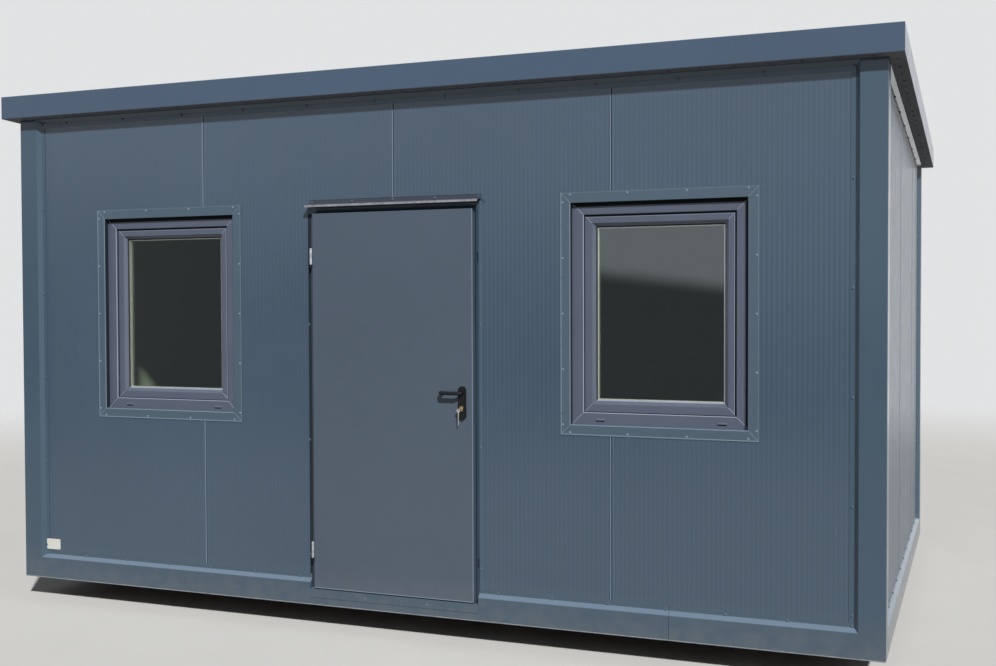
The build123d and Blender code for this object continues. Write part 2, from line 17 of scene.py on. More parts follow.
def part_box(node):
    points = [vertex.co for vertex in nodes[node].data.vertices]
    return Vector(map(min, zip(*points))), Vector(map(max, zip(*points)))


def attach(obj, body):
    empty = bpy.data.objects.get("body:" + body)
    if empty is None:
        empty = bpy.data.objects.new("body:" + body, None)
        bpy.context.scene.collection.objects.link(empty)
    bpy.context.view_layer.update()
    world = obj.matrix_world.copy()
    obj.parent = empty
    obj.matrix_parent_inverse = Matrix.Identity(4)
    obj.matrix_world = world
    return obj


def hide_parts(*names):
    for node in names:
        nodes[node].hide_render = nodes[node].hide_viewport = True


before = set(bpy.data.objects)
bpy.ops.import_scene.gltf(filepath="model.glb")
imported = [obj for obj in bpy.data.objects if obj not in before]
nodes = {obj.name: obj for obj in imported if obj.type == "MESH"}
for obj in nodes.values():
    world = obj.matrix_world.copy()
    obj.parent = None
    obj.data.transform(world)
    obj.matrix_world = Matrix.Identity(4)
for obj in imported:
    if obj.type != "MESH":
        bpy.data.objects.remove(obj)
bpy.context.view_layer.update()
MM = 0.001
print("pieces in the packed model:", len(nodes))

# %% [markdown]
# ## Walls as places to work on
#
# All four walls are built the same way, so it helps to have one way to point at a wall: a
# distance along it to the right, a depth inwards from the frame's face, and a height. Each wall
# could have its own sums, but a turn about the vertical axis puts the same point on the front,
# right, rear or left wall and leaves one place for a mistake. The sizes are read from the
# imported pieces, so that everything added here stays on what carries it.

# %% Sizes of the frame and walls
HALF_DEPTH = -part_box("front_bottom_rail")[0].y
HALF_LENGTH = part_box("right_bottom_rail")[1].x
PANEL_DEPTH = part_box("front_wall_left")[0].y + HALF_DEPTH
SHEET = 3 * MM
LIP_DEPTH = PANEL_DEPTH - SHEET
LIP_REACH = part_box("front_left_post")[1].x + HALF_LENGTH
RAIL_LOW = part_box("front_bottom_rail")[0].z
RAIL_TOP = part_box("front_bottom_rail")[1].z
WALL_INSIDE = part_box("front_wall_left")[1].y + HALF_DEPTH
TOP_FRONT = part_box("front_top_rail")[0].z
TOP_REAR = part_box("rear_top_rail")[0].z
TURNS = {"front": 0, "right": 90, "rear": 180, "left": 270}
print("wall panels lie", round(PANEL_DEPTH / MM, 1), "mm behind the frame's face")


# %% Points on a wall
def reach(side):
    """Distance of a wall's frame face from the middle of the cabin."""
    return HALF_DEPTH if side in ("front", "rear") else HALF_LENGTH


def span(side):
    """Half the length of a wall."""
    return HALF_LENGTH if side in ("front", "rear") else HALF_DEPTH


def on_wall(side, across, depth, up):
    """A point of a wall: distance to the right of its middle, depth inwards, height."""
    turn = Matrix.Rotation(radians(TURNS[side]), 3, "Z")
    return turn @ Vector((across, depth - reach(side), up))


def outwards(side):
    """The direction that a wall faces."""
    return Matrix.Rotation(radians(TURNS[side]), 3, "Z") @ Vector((0, -1, 0))


def top_lip(side, across):
    """Height of the top rail's lower edge, which follows the roof's fall on the side walls."""
    y = on_wall(side, across, 0, 0).y
    share = (y + HALF_DEPTH) / (2 * HALF_DEPTH)
    return TOP_FRONT + (TOP_REAR - TOP_FRONT) * share


for side in TURNS:
    print(side, "wall's middle:", [round(part, 3) for part in on_wall(side, 0, 0, 0)])

# %% [markdown]
# ## Colour and nodes
#
# Paint makers give colours as they look on a screen, and the shader wants linear light, so one
# function turns a hex value into it. A material could be built by hand in the node editor, but
# a script can be read, changed and run again. A second small function adds a node to any tree:
# its settings by name, and its inputs as values, as sockets, or as the node that feeds them,
# which then gives its first output that is in use.

# %% Colour and node helpers
def linear(colour):
    """An sRGB hex colour as linear light."""
    parts = [int(colour[place : place + 2], 16) / 255 for place in (1, 3, 5)]
    light = [part / 12.92 if part <= 0.04045 else ((part + 0.055) / 1.055) ** 2.4 for part in parts]
    return (*light, 1.0)


def add(tree, kind, inputs=None, **settings):
    """Adds a node with its settings, and fills or links its inputs by name or by number."""
    made = tree.nodes.new(kind)
    for name, value in settings.items():
        setattr(made, name, value)
    for name, value in (inputs or {}).items():
        if isinstance(name, int):
            socket = made.inputs[name]
        else:
            socket = next(one for one in made.inputs if one.enabled and one.name == name)
        if isinstance(value, bpy.types.Node):
            value = next(one for one in value.outputs if one.enabled)
        if isinstance(value, bpy.types.NodeSocket):
            tree.links.new(value, socket)
        else:
            socket.default_value = value
    return made


def new_material(name):
    """An empty node material, with its tree and its Object coordinates."""
    material = bpy.data.materials.new(name)
    material.use_nodes = True
    tree = material.node_tree
    tree.nodes.clear()
    return material, tree, add(tree, "ShaderNodeTexCoord").outputs["Object"]


print("anthracite as linear light:", [round(part, 3) for part in linear("#3f5160")])

# %% [markdown]
# ## Painted sheet steel
#
# The frame, fascia and door are steel sheet with a baked polyester coat in anthracite grey. To
# the eye that is an even colour with a soft sheen, a little cloudy where the coat is thinner,
# with a trace of pale dust low down. One flat colour would look like plastic, and a picture of
# paint would repeat; noise on Object coordinates never repeats and keeps its true scale on every
# piece. Rolled sheet is never quite flat either, so a very long, very low wave goes into the
# bump, and the fine skin of the coat on top of it.

# %% Patterns that all coated sheet shares
DUST = "#8d867a"
DUST_FOOT = 0.13


def shaded(colour, *shares):
    """A hex colour as linear light, with red, green and blue each turned down to a share."""
    return (*(part * share for part, share in zip(linear(colour), shares)), 1.0)


def cloudy(tree, where, size, low, high, detail=3.0, start=0.3, end=0.7):
    """Noise in blotches about size metres across, whose middle is spread from low to high."""
    noise = add(tree, "ShaderNodeTexNoise", {
        "Vector": where, "Scale": 1 / size, "Detail": detail, "Roughness": 0.55,
    })
    return add(tree, "ShaderNodeMapRange", {
        "Value": noise, "From Min": start, "From Max": end, "To Min": low, "To Max": high,
    })


def dusty(tree, where, coat, high=0.34, share=0.16):
    """Pale dust on a coat, which thins out with height."""
    height = add(tree, "ShaderNodeSeparateXYZ", {"Vector": where}).outputs["Z"]
    low = add(tree, "ShaderNodeMapRange", {
        "Value": height, "From Min": DUST_FOOT, "From Max": high, "To Min": share, "To Max": 0.0,
    })
    cloud = cloudy(tree, where, 60 * MM, 0.3, 1.0)
    amount = add(tree, "ShaderNodeMath", {0: low, 1: cloud}, operation="MULTIPLY")
    return add(tree, "ShaderNodeMix", {
        "Factor": amount, "A": coat, "B": linear(DUST),
    }, data_type="RGBA")


def sheet_bump(tree, where, wave_height, skin_height):
    """Long waves of rolled sheet under the fine skin of a baked coat, drawn at 5 mm to show."""
    long_wave = add(tree, "ShaderNodeTexNoise", {
        "Vector": where, "Scale": 1 / (380 * MM), "Detail": 1.0, "Roughness": 0.55,
    })
    skin = add(tree, "ShaderNodeTexNoise", {
        "Vector": where, "Scale": 1 / (5 * MM), "Detail": 1.0, "Roughness": 0.55,
    })
    wave = add(tree, "ShaderNodeBump", {
        "Height": long_wave, "Distance": wave_height, "Strength": 1.0,
    })
    return add(tree, "ShaderNodeBump", {
        "Height": skin, "Distance": skin_height, "Strength": 0.4, "Normal": wave,
    })


print("dust thins out from a height of", DUST_FOOT, "m")

# %% [markdown]
# ## Painted light and shade on the paint
#
# Every slope that faces up gets a paler, bluer coat: a painted reflection of the sky.
# Faces that look down get a colour of their own and a matt finish: a neutral grey under the
# roof edge, which is painted shade with the ground's reflection, and near black under the rain
# drip, painted shadow. A pale band at the lowest edge of the frame is a painted highlight, and
# one on the nose of the rain drip is a painted reflection of the ground. These could be painted
# by hand on each piece. Here the way a face points and its height decide, and it stays right
# when a size changes.

# %% Painted steel
SLOPE_SKY_SHEEN = "#74889e"


def painted_steel(name, colour, shine=0.38, wave_height=0.5 * MM, below=None, edge=None):
    """Baked paint on steel: painted sky on slopes, painted shade below, painted edge highlight."""
    material, tree, where = new_material(name)
    coat = add(tree, "ShaderNodeMix", {
        "Factor": cloudy(tree, where, 700 * MM, 0.0, 1.0, 4.0),
        "A": shaded(colour, 0.90, 0.90, 0.91), "B": linear(colour),
    }, data_type="RGBA")
    coat = dusty(tree, where, coat)
    rough = cloudy(tree, where, 90 * MM, shine - 0.03, shine + 0.04)
    facing = add(tree, "ShaderNodeNewGeometry").outputs["Normal"]
    up = add(tree, "ShaderNodeSeparateXYZ", {"Vector": facing}).outputs["Z"]
    # Slopes that face up blend to a paler, bluer coat: a painted reflection of the sky.
    slope = add(tree, "ShaderNodeMapRange", {
        "Value": up, "From Min": 0.4, "From Max": 0.7, "To Min": 0.0, "To Max": 0.4,
    })
    coat = add(tree, "ShaderNodeMix", {
        "Factor": slope, "A": coat, "B": linear(SLOPE_SKY_SHEEN),
    }, data_type="RGBA")
    # Up to a small rise above the given foot the coat turns pale in patches: a painted highlight.
    if edge:
        foot, rise, pale = edge
        height = add(tree, "ShaderNodeSeparateXYZ", {"Vector": where}).outputs["Z"]
        lit_edge = add(tree, "ShaderNodeMapRange", {
            "Value": height, "From Min": foot + rise, "From Max": foot + rise + 2 * MM,
            "To Min": 1.0, "To Max": 0.0,
        })
        worn = cloudy(tree, where, 25 * MM, 0.5, 0.95)
        share = add(tree, "ShaderNodeMath", {0: lit_edge, 1: worn}, operation="MULTIPLY")
        coat = add(tree, "ShaderNodeMix", {
            "Factor": share, "A": coat, "B": linear(pale),
        }, data_type="RGBA")
    # Faces that look down take the colour given below, painted shade, and turn matt.
    if below:
        down = add(tree, "ShaderNodeMath", {0: up, 1: -0.5}, operation="LESS_THAN")
        coat = add(tree, "ShaderNodeMix", {
            "Factor": down, "A": coat, "B": linear(below),
        }, data_type="RGBA")
        matt = add(tree, "ShaderNodeMath", {0: down, 1: 0.85}, operation="MULTIPLY")
        rough = add(tree, "ShaderNodeMath", {0: rough, 1: matt}, operation="MAXIMUM")
    shader = add(tree, "ShaderNodeBsdfPrincipled", {
        "Base Color": coat, "Roughness": rough, "IOR": 1.5,
        "Normal": sheet_bump(tree, where, wave_height, 0.01 * MM),
    })
    add(tree, "ShaderNodeOutputMaterial", {"Surface": shader})
    return material


print("painted sky sheen as linear light:", [round(part, 3) for part in linear(SLOPE_SKY_SHEEN)])

# %% Paints of the frame, roof edge, door and flashings
# The frame's pale lowest edge is a painted highlight.
frame_paint = painted_steel("baked paint on folded frame", "#3f5160", 0.2,
                            edge=(RAIL_LOW, 5 * MM, "#a2a5ab"))
# The fascia's neutral grey below is painted shade with the ground's reflection.
fascia_paint = painted_steel("baked paint on fascia sheet", "#405165", 0.24, below="#5e5f63")
# The drip's near black below is painted shadow, and its pale nose a painted reflection.
drip_paint = painted_steel("paint on rain drip", "#353a43", 0.4, 0.1 * MM, below="#050506",
                           edge=(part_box("door_drip")[0].z, 9 * MM, "#98969a"))
flashing_paint = painted_steel("baked paint on window flashing", "#475764", 0.3, 0.2 * MM)
door_paint = painted_steel("baked paint on door leaf", "#485360", 0.34, 0.25 * MM)
portal_paint = painted_steel("baked paint on door frame", "#415362", 0.32, 0.1 * MM)
screw_paint = painted_steel("baked paint on screw heads", "#4f5f6e", 0.3, 0.0)
# A paler paint for painted highlights on hems, laps, rivets and folds.
highlight_paint = painted_steel("paler paint as painted highlight on rolled edges", "#748492", 0.26, 0.0)
print("painted steel:", frame_paint.name, "with", len(frame_paint.node_tree.nodes), "nodes")

# %% [markdown]
# ## Coil coated wall panels
#
# The panels are foam between two thin steel sheets, painted on the coil before they are
# formed: anthracite outside, off-white inside, and yellow foam at a cut edge. The imported panel
# is one slab, and its faces could be sorted into three materials. Here one material asks where
# a point lies instead: farther in than the panel's inner face it turns white, and between the
# two skins it is foam, so that a window cut anywhere is right. Faces turned aslant, such as the
# flanks of the shoulders at the panel joints, get a lighter coat, a painted highlight; the way
# a face points tells which.

# %% Wall panel material
EDGE_RETURN = 14 * MM
JOINT_HIGHLIGHT_COAT = "#5f7387"


def panel_material(name, outside, inside):
    """Outer and inner coat of a sandwich panel, by the distance from the cabin's middle."""
    material, tree, where = new_material(name)
    split = add(tree, "ShaderNodeSeparateXYZ", {"Vector": where})
    depths = []
    for axis, half in (("X", HALF_LENGTH), ("Y", HALF_DEPTH)):
        far = add(tree, "ShaderNodeMath", {0: split.outputs[axis]}, operation="ABSOLUTE")
        depths.append(add(tree, "ShaderNodeMath", {0: half, 1: far}, operation="SUBTRACT"))
    depth = add(tree, "ShaderNodeMath", {0: depths[0], 1: depths[1]}, operation="MINIMUM")
    is_inside = add(tree, "ShaderNodeMath", {
        0: depth, 1: WALL_INSIDE - 1 * MM,
    }, operation="GREATER_THAN")
    past_skin = add(tree, "ShaderNodeMath", {
        0: depth, 1: PANEL_DEPTH + EDGE_RETURN,
    }, operation="GREATER_THAN")
    facing = add(tree, "ShaderNodeNewGeometry").outputs["Normal"]
    turned = add(tree, "ShaderNodeSeparateXYZ", {"Vector": facing})
    aslant = add(tree, "ShaderNodeMath", {
        0: turned.outputs["X"], 1: turned.outputs["Y"],
    }, operation="MULTIPLY")
    aslant = add(tree, "ShaderNodeMath", {0: aslant}, operation="ABSOLUTE")
    # Faces turned aslant get a lighter coat: a painted highlight.
    aslant_highlight = add(tree, "ShaderNodeMath", {0: aslant, 1: 0.3}, operation="GREATER_THAN")
    coat = add(tree, "ShaderNodeMix", {
        "Factor": cloudy(tree, where, 900 * MM, 0.0, 1.0, 4.0),
        "A": shaded(outside, 0.91, 0.91, 0.92), "B": linear(outside),
    }, data_type="RGBA")
    coat = add(tree, "ShaderNodeMix", {
        "Factor": aslant_highlight, "A": coat, "B": linear(JOINT_HIGHLIGHT_COAT),
    }, data_type="RGBA")
    bubbles = add(tree, "ShaderNodeTexNoise", {
        "Vector": where, "Scale": 1 / (3 * MM), "Detail": 3.0, "Roughness": 0.55,
    })
    foam = add(tree, "ShaderNodeMix", {
        "Factor": bubbles, "A": linear("#b59b62"), "B": linear("#d3bd85"),
    }, data_type="RGBA")
    core = add(tree, "ShaderNodeMix", {
        "Factor": past_skin, "A": dusty(tree, where, coat), "B": foam,
    }, data_type="RGBA")
    colour = add(tree, "ShaderNodeMix", {
        "Factor": is_inside, "A": core, "B": linear(inside),
    }, data_type="RGBA")
    shader = add(tree, "ShaderNodeBsdfPrincipled", {
        "Base Color": colour, "Roughness": cloudy(tree, where, 120 * MM, 0.18, 0.23), "IOR": 1.6,
        "Normal": sheet_bump(tree, where, 0.6 * MM, 0.008 * MM),
    })
    add(tree, "ShaderNodeOutputMaterial", {"Surface": shader})
    return material


panel_paint = panel_material("coil coated sandwich panel", "#3e4f5f", "#d9dad5")
print("panel coat:", panel_paint.name, "with", len(panel_paint.node_tree.nodes), "nodes")

# %% [markdown]
# ## Roof sheet
#
# The roof panels are coil coated like the walls. Above, rain and dust have made the coat matt
# and patchy; below, it is the white ceiling of the room. One material for the whole roof, which
# turns white where a face looks down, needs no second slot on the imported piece.

# %% Roof material
def roof_material(name, above, below):
    """Roof sheet: coloured where it faces up or sideways, white where it faces down."""
    material, tree, where = new_material(name)
    facing = add(tree, "ShaderNodeNewGeometry").outputs["Normal"]
    up = add(tree, "ShaderNodeSeparateXYZ", {"Vector": facing}).outputs["Z"]
    down = add(tree, "ShaderNodeMath", {0: up, 1: -0.5}, operation="LESS_THAN")
    coat = add(tree, "ShaderNodeMix", {
        "Factor": cloudy(tree, where, 220 * MM, 0.0, 0.22, 5.0),
        "A": linear(above), "B": linear("#80807c"),
    }, data_type="RGBA")
    colour = add(tree, "ShaderNodeMix", {
        "Factor": down, "A": coat, "B": linear(below),
    }, data_type="RGBA")
    shader = add(tree, "ShaderNodeBsdfPrincipled", {
        "Base Color": colour, "IOR": 1.5, "Roughness": cloudy(tree, where, 90 * MM, 0.42, 0.56),
        "Normal": sheet_bump(tree, where, 0.6 * MM, 0.05 * MM),
    })
    add(tree, "ShaderNodeOutputMaterial", {"Surface": shader})
    return material


roof_paint = roof_material("coil coated roof sheet", "#4b555c", "#d9dad5")
print("roof sheet:", roof_paint.name)

# %% [markdown]
# ## Galvanised steel
#
# Joists and hinges are dipped in molten zinc, which freezes into flat crystals: the spangle, a
# patchwork of greys, each with its own shine. Voronoi cells have just that shape. They could
# come from a photo, but the cells' size is one number here, 6 mm on the small hinges and 14 mm
# on the joists.

# %% Galvanised steel material
def galvanised_steel(name, pale, dark, spangle):
    """Hot dip zinc: flat crystals, each with its own grey and its own shine."""
    material, tree, where = new_material(name)
    crystal = add(tree, "ShaderNodeTexVoronoi", {"Vector": where, "Scale": 1 / spangle})
    shade = add(tree, "ShaderNodeSeparateColor", {"Color": crystal.outputs["Color"]})
    colour = add(tree, "ShaderNodeMix", {
        "Factor": shade, "A": linear(dark), "B": linear(pale),
    }, data_type="RGBA")
    rough = add(tree, "ShaderNodeMapRange", {"Value": shade, "To Min": 0.32, "To Max": 0.5})
    shader = add(tree, "ShaderNodeBsdfPrincipled", {
        "Base Color": colour, "Metallic": 0.85, "Roughness": rough,
    })
    add(tree, "ShaderNodeOutputMaterial", {"Surface": shader})
    return material


zinc = galvanised_steel("hot dip galvanised steel", "#c9cdd0", "#9aa0a4", 6 * MM)
joist_zinc = galvanised_steel("galvanised joist steel", "#9ea3a6", "#74797d", 14 * MM)
print("zinc spangle drawn at 6 and 14 mm")

# %% [markdown]
# ## Chassis primer
#
# The skids get one coat of black primer and no care: matt, uneven, dusty, with small blooms of
# rust where stones have hit. Rust could be a second material on chosen faces. The top of a
# finer noise gives scattered islands of it all over, which is how it starts on real steel.

# %% Primer material
def rough_primer(name, colour):
    """Black chassis primer: matt, uneven, with dust and small rust blooms."""
    material, tree, where = new_material(name)
    coat = add(tree, "ShaderNodeMix", {
        "Factor": cloudy(tree, where, 25 * MM, 0.0, 1.0, 6.0, 0.62, 0.7),
        "A": linear(colour), "B": linear("#4a3428"),
    }, data_type="RGBA")
    shader = add(tree, "ShaderNodeBsdfPrincipled", {
        "Base Color": dusty(tree, where, coat, 0.2, 0.3), "IOR": 1.5,
        "Roughness": cloudy(tree, where, 30 * MM, 0.6, 0.8),
        "Normal": sheet_bump(tree, where, 0.0, 0.2 * MM),
    })
    add(tree, "ShaderNodeOutputMaterial", {"Surface": shader})
    return material


primer = rough_primer("chassis primer", "#1c1d1f")
print("primer:", primer.name)

# %% [markdown]
# ## Foil covered window profile
#
# The windows are welded from PVC profile with a grey foil, embossed with a fine wood-like grain
# that runs along the bars. To the eye it is a soft, slightly violet grey. The grain could follow
# each bar with its own map; a noise drawn out in height is so fine that it serves all four.

# %% Window profile material
def foil_plastic(name, colour):
    """PVC window profile in foil, with a fine embossed grain that is drawn out in height."""
    material, tree, where = new_material(name)
    drawn_out = add(tree, "ShaderNodeMapping", {"Vector": where, "Scale": (1.0, 1.0, 0.25)})
    grain = add(tree, "ShaderNodeTexNoise", {
        "Vector": drawn_out, "Scale": 1 / (2.5 * MM), "Detail": 4.0, "Roughness": 0.55,
    })
    bump = add(tree, "ShaderNodeBump", {"Height": grain, "Distance": 0.06 * MM, "Strength": 0.5})
    coat = add(tree, "ShaderNodeMix", {
        "Factor": cloudy(tree, where, 250 * MM, 0.0, 1.0),
        "A": shaded(colour, 0.92, 0.92, 0.93), "B": linear(colour),
    }, data_type="RGBA")
    rough = add(tree, "ShaderNodeMapRange", {
        "Value": grain, "From Min": 0.3, "From Max": 0.7, "To Min": 0.36, "To Max": 0.46,
    })
    shader = add(tree, "ShaderNodeBsdfPrincipled", {
        "Base Color": coat, "IOR": 1.53, "Roughness": rough, "Normal": bump,
    })
    add(tree, "ShaderNodeOutputMaterial", {"Surface": shader})
    return material


window_foil = foil_plastic("foil covered PVC profile", "#4d5362")
# A paler foil for painted highlights on beads, welds and rims.
foil_highlight = foil_plastic("paler foil as painted highlight on profile edges", "#868d9e")
print("window profile:", window_foil.name)

# %% [markdown]
# ## Moulded rubber and nylon
#
# Seals are black rubber, and the lever and its plates are black nylon, both out of a mould whose
# spark-eroded skin leaves a fine dull texture. Black is hard to get right: a plain black with
# full gloss turns grey under a wide light, so the specular level comes down and a texture of
# 1.5 mm, coarser than the real one so that it shows, breaks up what is left of the gloss.

# %% Rubber, nylon and tape
def moulded(name, colour, rough, shine=0.4):
    """Moulded rubber or nylon with a fine spark-eroded texture."""
    material, tree, where = new_material(name)
    texture = add(tree, "ShaderNodeTexNoise", {
        "Vector": where, "Scale": 1 / (1.5 * MM), "Detail": 2.0, "Roughness": 0.55,
    })
    bump = add(tree, "ShaderNodeBump", {
        "Height": texture, "Distance": 0.05 * MM, "Strength": 0.6,
    })
    pale = add(tree, "ShaderNodeMapRange", {
        "Value": texture, "From Min": 0.3, "From Max": 0.7, "To Min": 0.0, "To Max": 0.08,
    })
    coat = add(tree, "ShaderNodeMix", {
        "Factor": pale, "A": linear(colour), "B": linear("#3a3d40"),
    }, data_type="RGBA")
    dull = add(tree, "ShaderNodeMapRange", {
        "Value": texture, "From Min": 0.3, "From Max": 0.7,
        "To Min": rough - 0.04, "To Max": rough + 0.06,
    })
    shader = add(tree, "ShaderNodeBsdfPrincipled", {
        "Base Color": coat, "IOR": 1.5, "Roughness": dull, "Specular IOR Level": shine,
        "Normal": bump,
    })
    add(tree, "ShaderNodeOutputMaterial", {"Surface": shader})
    return material


# Black rubber also draws painted shade at the glass seal's left and head.
rubber = moulded("black rubber seal", "#060607", 0.75)
# This tape also draws painted shade on the door's hinge side.
tape = moulded("grey-black sealing tape", "#1a2027", 0.8, 0.2)
nylon = moulded("black moulded nylon", "#040506", 0.5, 0.25)
# Besides seams, this black is painted shadow at the windows and the shade in drain slots.
slot_black = moulded("dark slot", "#060607", 0.85, 0.2)
print("rubber and nylon:", rubber.name, "and", nylon.name)

# %% [markdown]
# ## Brass, nickel and aluminium
#
# The lock cylinder is turned brass, the keys are brass and nickel plated steel, and the bar
# between the panes is anodised aluminium. A metal is nothing but its mirror colour and how
# rough it is. Each is a little duller where hands and air have tarnished it, and fine marks
# along its length, 0.8 mm apart, make its shine uneven.

# %% Metals
def plain_metal(name, colour, rough):
    """Machined, plated or rolled metal with fine marks along its length."""
    material, tree, where = new_material(name)
    drawn_out = add(tree, "ShaderNodeMapping", {"Vector": where, "Scale": (1.0, 1.0, 0.08)})
    tarnished = add(tree, "ShaderNodeMix", {
        "Factor": cloudy(tree, where, 9 * MM, 0.0, 0.35),
        "A": linear(colour), "B": shaded(colour, 0.72, 0.70, 0.68),
    }, data_type="RGBA")
    shader = add(tree, "ShaderNodeBsdfPrincipled", {
        "Base Color": tarnished, "Metallic": 1.0,
        "Roughness": cloudy(tree, drawn_out, 0.8 * MM, rough - 0.05, rough + 0.08),
    })
    add(tree, "ShaderNodeOutputMaterial", {"Surface": shader})
    return material


brass = plain_metal("machined brass", "#dcc79c", 0.3)
nickel = plain_metal("nickel plated steel", "#cfccc4", 0.25)
aluminium = plain_metal("anodised aluminium", "#e4e4de", 0.6)
print("metals:", brass.name, nickel.name, aluminium.name)

# %% [markdown]
# ## Plywood deck
#
# The floor is birch plywood with a brown film pressed on its faces, and the edge shows its
# plies, 1.5 mm each. Real plywood could be built up from layers. Here a zigzag of the height
# draws the plies where a face is upright, and the film covers it where a face is level.

# %% Plywood material
PLY = 1.5 * MM


def film_plywood(name):
    """Birch plywood with a brown film on its faces and bare plies at its edge."""
    material, tree, where = new_material(name)
    height = add(tree, "ShaderNodeSeparateXYZ", {"Vector": where}).outputs["Z"]
    drawn_out = add(tree, "ShaderNodeMapping", {"Vector": where, "Scale": (0.12, 1.0, 1.0)})
    grain = add(tree, "ShaderNodeTexNoise", {
        "Vector": drawn_out, "Scale": 1 / (6 * MM), "Detail": 5.0, "Roughness": 0.55,
    })
    facing = add(tree, "ShaderNodeNewGeometry").outputs["Normal"]
    up = add(tree, "ShaderNodeSeparateXYZ", {"Vector": facing}).outputs["Z"]
    flat = add(tree, "ShaderNodeMath", {0: up}, operation="ABSOLUTE")
    is_face = add(tree, "ShaderNodeMath", {0: flat, 1: 0.5}, operation="GREATER_THAN")
    zigzag = add(tree, "ShaderNodeMath", {0: height, 1: PLY}, operation="PINGPONG")
    layer = add(tree, "ShaderNodeMath", {0: zigzag, 1: 1 / PLY}, operation="MULTIPLY")
    plies = add(tree, "ShaderNodeMix", {
        "Factor": layer, "A": linear("#8a6a45"), "B": linear("#c7a877"),
    }, data_type="RGBA")
    film = add(tree, "ShaderNodeMix", {
        "Factor": grain, "A": linear("#3f2c22"), "B": linear("#5b4233"),
    }, data_type="RGBA")
    colour = add(tree, "ShaderNodeMix", {
        "Factor": is_face, "A": plies, "B": film,
    }, data_type="RGBA")
    rough = add(tree, "ShaderNodeMapRange", {
        "Value": grain, "From Min": 0.3, "From Max": 0.7, "To Min": 0.38, "To Max": 0.6,
    })
    shader = add(tree, "ShaderNodeBsdfPrincipled", {
        "Base Color": colour, "IOR": 1.5, "Roughness": rough,
    })
    add(tree, "ShaderNodeOutputMaterial", {"Surface": shader})
    return material


plywood = film_plywood("film faced plywood")
print("deck:", plywood.name)

# %% [markdown]
# ## Window glass
#
# A double glazed unit is two panes with a spacer between them, so it has four faces that
# mirror. Most light passes and a little is mirrored, more at a slant. A glass shader would bend
# light through each pane and keep the sun out of the room. A clear shader mixed with a mirror
# one by the angle lets the sun in, casts no false shadow and costs little. The front of each
# pane mirrors twice what one face would, for its back face as well.

# %% Glass material
def pane_glass(name, tint, mirror):
    """A thin pane: clear with a green tint, and a mirror that grows at a slant."""
    material, tree, where = new_material(name)
    film = cloudy(tree, where, 300 * MM, 0.008, 0.03)
    clear = add(tree, "ShaderNodeBsdfTransparent", {"Color": linear(tint)})
    shine = add(tree, "ShaderNodeBsdfGlossy", {"Color": linear(mirror), "Roughness": film})
    slant = add(tree, "ShaderNodeFresnel", {"IOR": 1.52})
    back = add(tree, "ShaderNodeNewGeometry").outputs["Backfacing"]
    front = add(tree, "ShaderNodeMath", {0: 1.0, 1: back}, operation="SUBTRACT")
    share = add(tree, "ShaderNodeMath", {0: slant, 1: front}, operation="MULTIPLY")
    share = add(tree, "ShaderNodeMath", {0: share, 1: 2.0}, operation="MULTIPLY", use_clamp=True)
    pane = add(tree, "ShaderNodeMixShader", {0: share, 1: clear, 2: shine})
    add(tree, "ShaderNodeOutputMaterial", {"Surface": pane})
    return material


glass = pane_glass("float glass pane", "#f1f4ef", "#ffffff")
print("glass:", glass.name)

# %% [markdown]
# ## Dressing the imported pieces
#
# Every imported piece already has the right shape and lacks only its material. Forty-five lines
# could say which goes where. The pieces' names already tell what each one is, so a short list
# of words from those names does it, and a new piece of a known kind is dressed by itself.

# %% Give each node its material
FINISHES = {
    "_wall": panel_paint, "front_wall": panel_paint, "roof_panels": roof_paint,
    "floor_joists": joist_zinc, "floor_deck": plywood, "skids": primer,
    "door_frame": portal_paint, "door_threshold": frame_paint, "door_drip": drip_paint,
    "door_leaf": door_paint, "hinge_": zinc, "lock_plates": nylon, "door_lever": nylon,
    "lock_cylinder": brass, "_flashing": flashing_paint, "_window_frame": window_foil,
    "_window_sash": window_foil, "_window_glass": glass, "_fascia": fascia_paint,
    "_rail": frame_paint, "_post": frame_paint,
}
for name, piece in nodes.items():
    finish = next(FINISHES[word] for word in FINISHES if word in name)
    piece.data.materials.clear()
    piece.data.materials.append(finish)
print("dressed:", len(nodes), "nodes")

# %% [markdown]
# ## The camera
#
# The picture was taken at eye height from in front of the cabin's right end, looking a little
# to the left. A camera could be pushed about until the picture looks right. Here its place,
# turn and lens were solved from the corners of the frame and roof, whose sizes are known.

# %% Camera
CAMERA_PLACE = Vector((2.7766, -7.1355, 1.7166))
YAW, PITCH, ROLL = -0.3787, -0.0251, -0.0033
PICTURE_WIDTH = 996
FOCAL_PIXELS = 1213.9
forward = Vector((sin(YAW) * cos(PITCH), cos(YAW) * cos(PITCH), sin(PITCH)))
level = Vector((cos(YAW), -sin(YAW), 0))
above = level.cross(forward)
right = level * cos(ROLL) + above * sin(ROLL)
upward = above * cos(ROLL) - level * sin(ROLL)
camera = bpy.data.objects.new("camera", bpy.data.cameras.new("camera"))
camera.data.sensor_width = 36.0
camera.data.lens = FOCAL_PIXELS / PICTURE_WIDTH * camera.data.sensor_width
turn = Matrix((right, upward, -forward)).transposed()
camera.matrix_world = Matrix.Translation(CAMERA_PLACE) @ turn.to_4x4()
bpy.context.scene.collection.objects.link(camera)
bpy.context.scene.camera = camera
print("lens:", round(camera.data.lens, 1), "mm")

# %% [markdown]
# ## Key lamp
#
# Low sun from the right is what shows the ribs and folds. An area lamp near the cabin would
# light one end more than the other; a sun lamp lights it all alike, as the real sun does, and
# its width of three degrees softens the shadows a little.

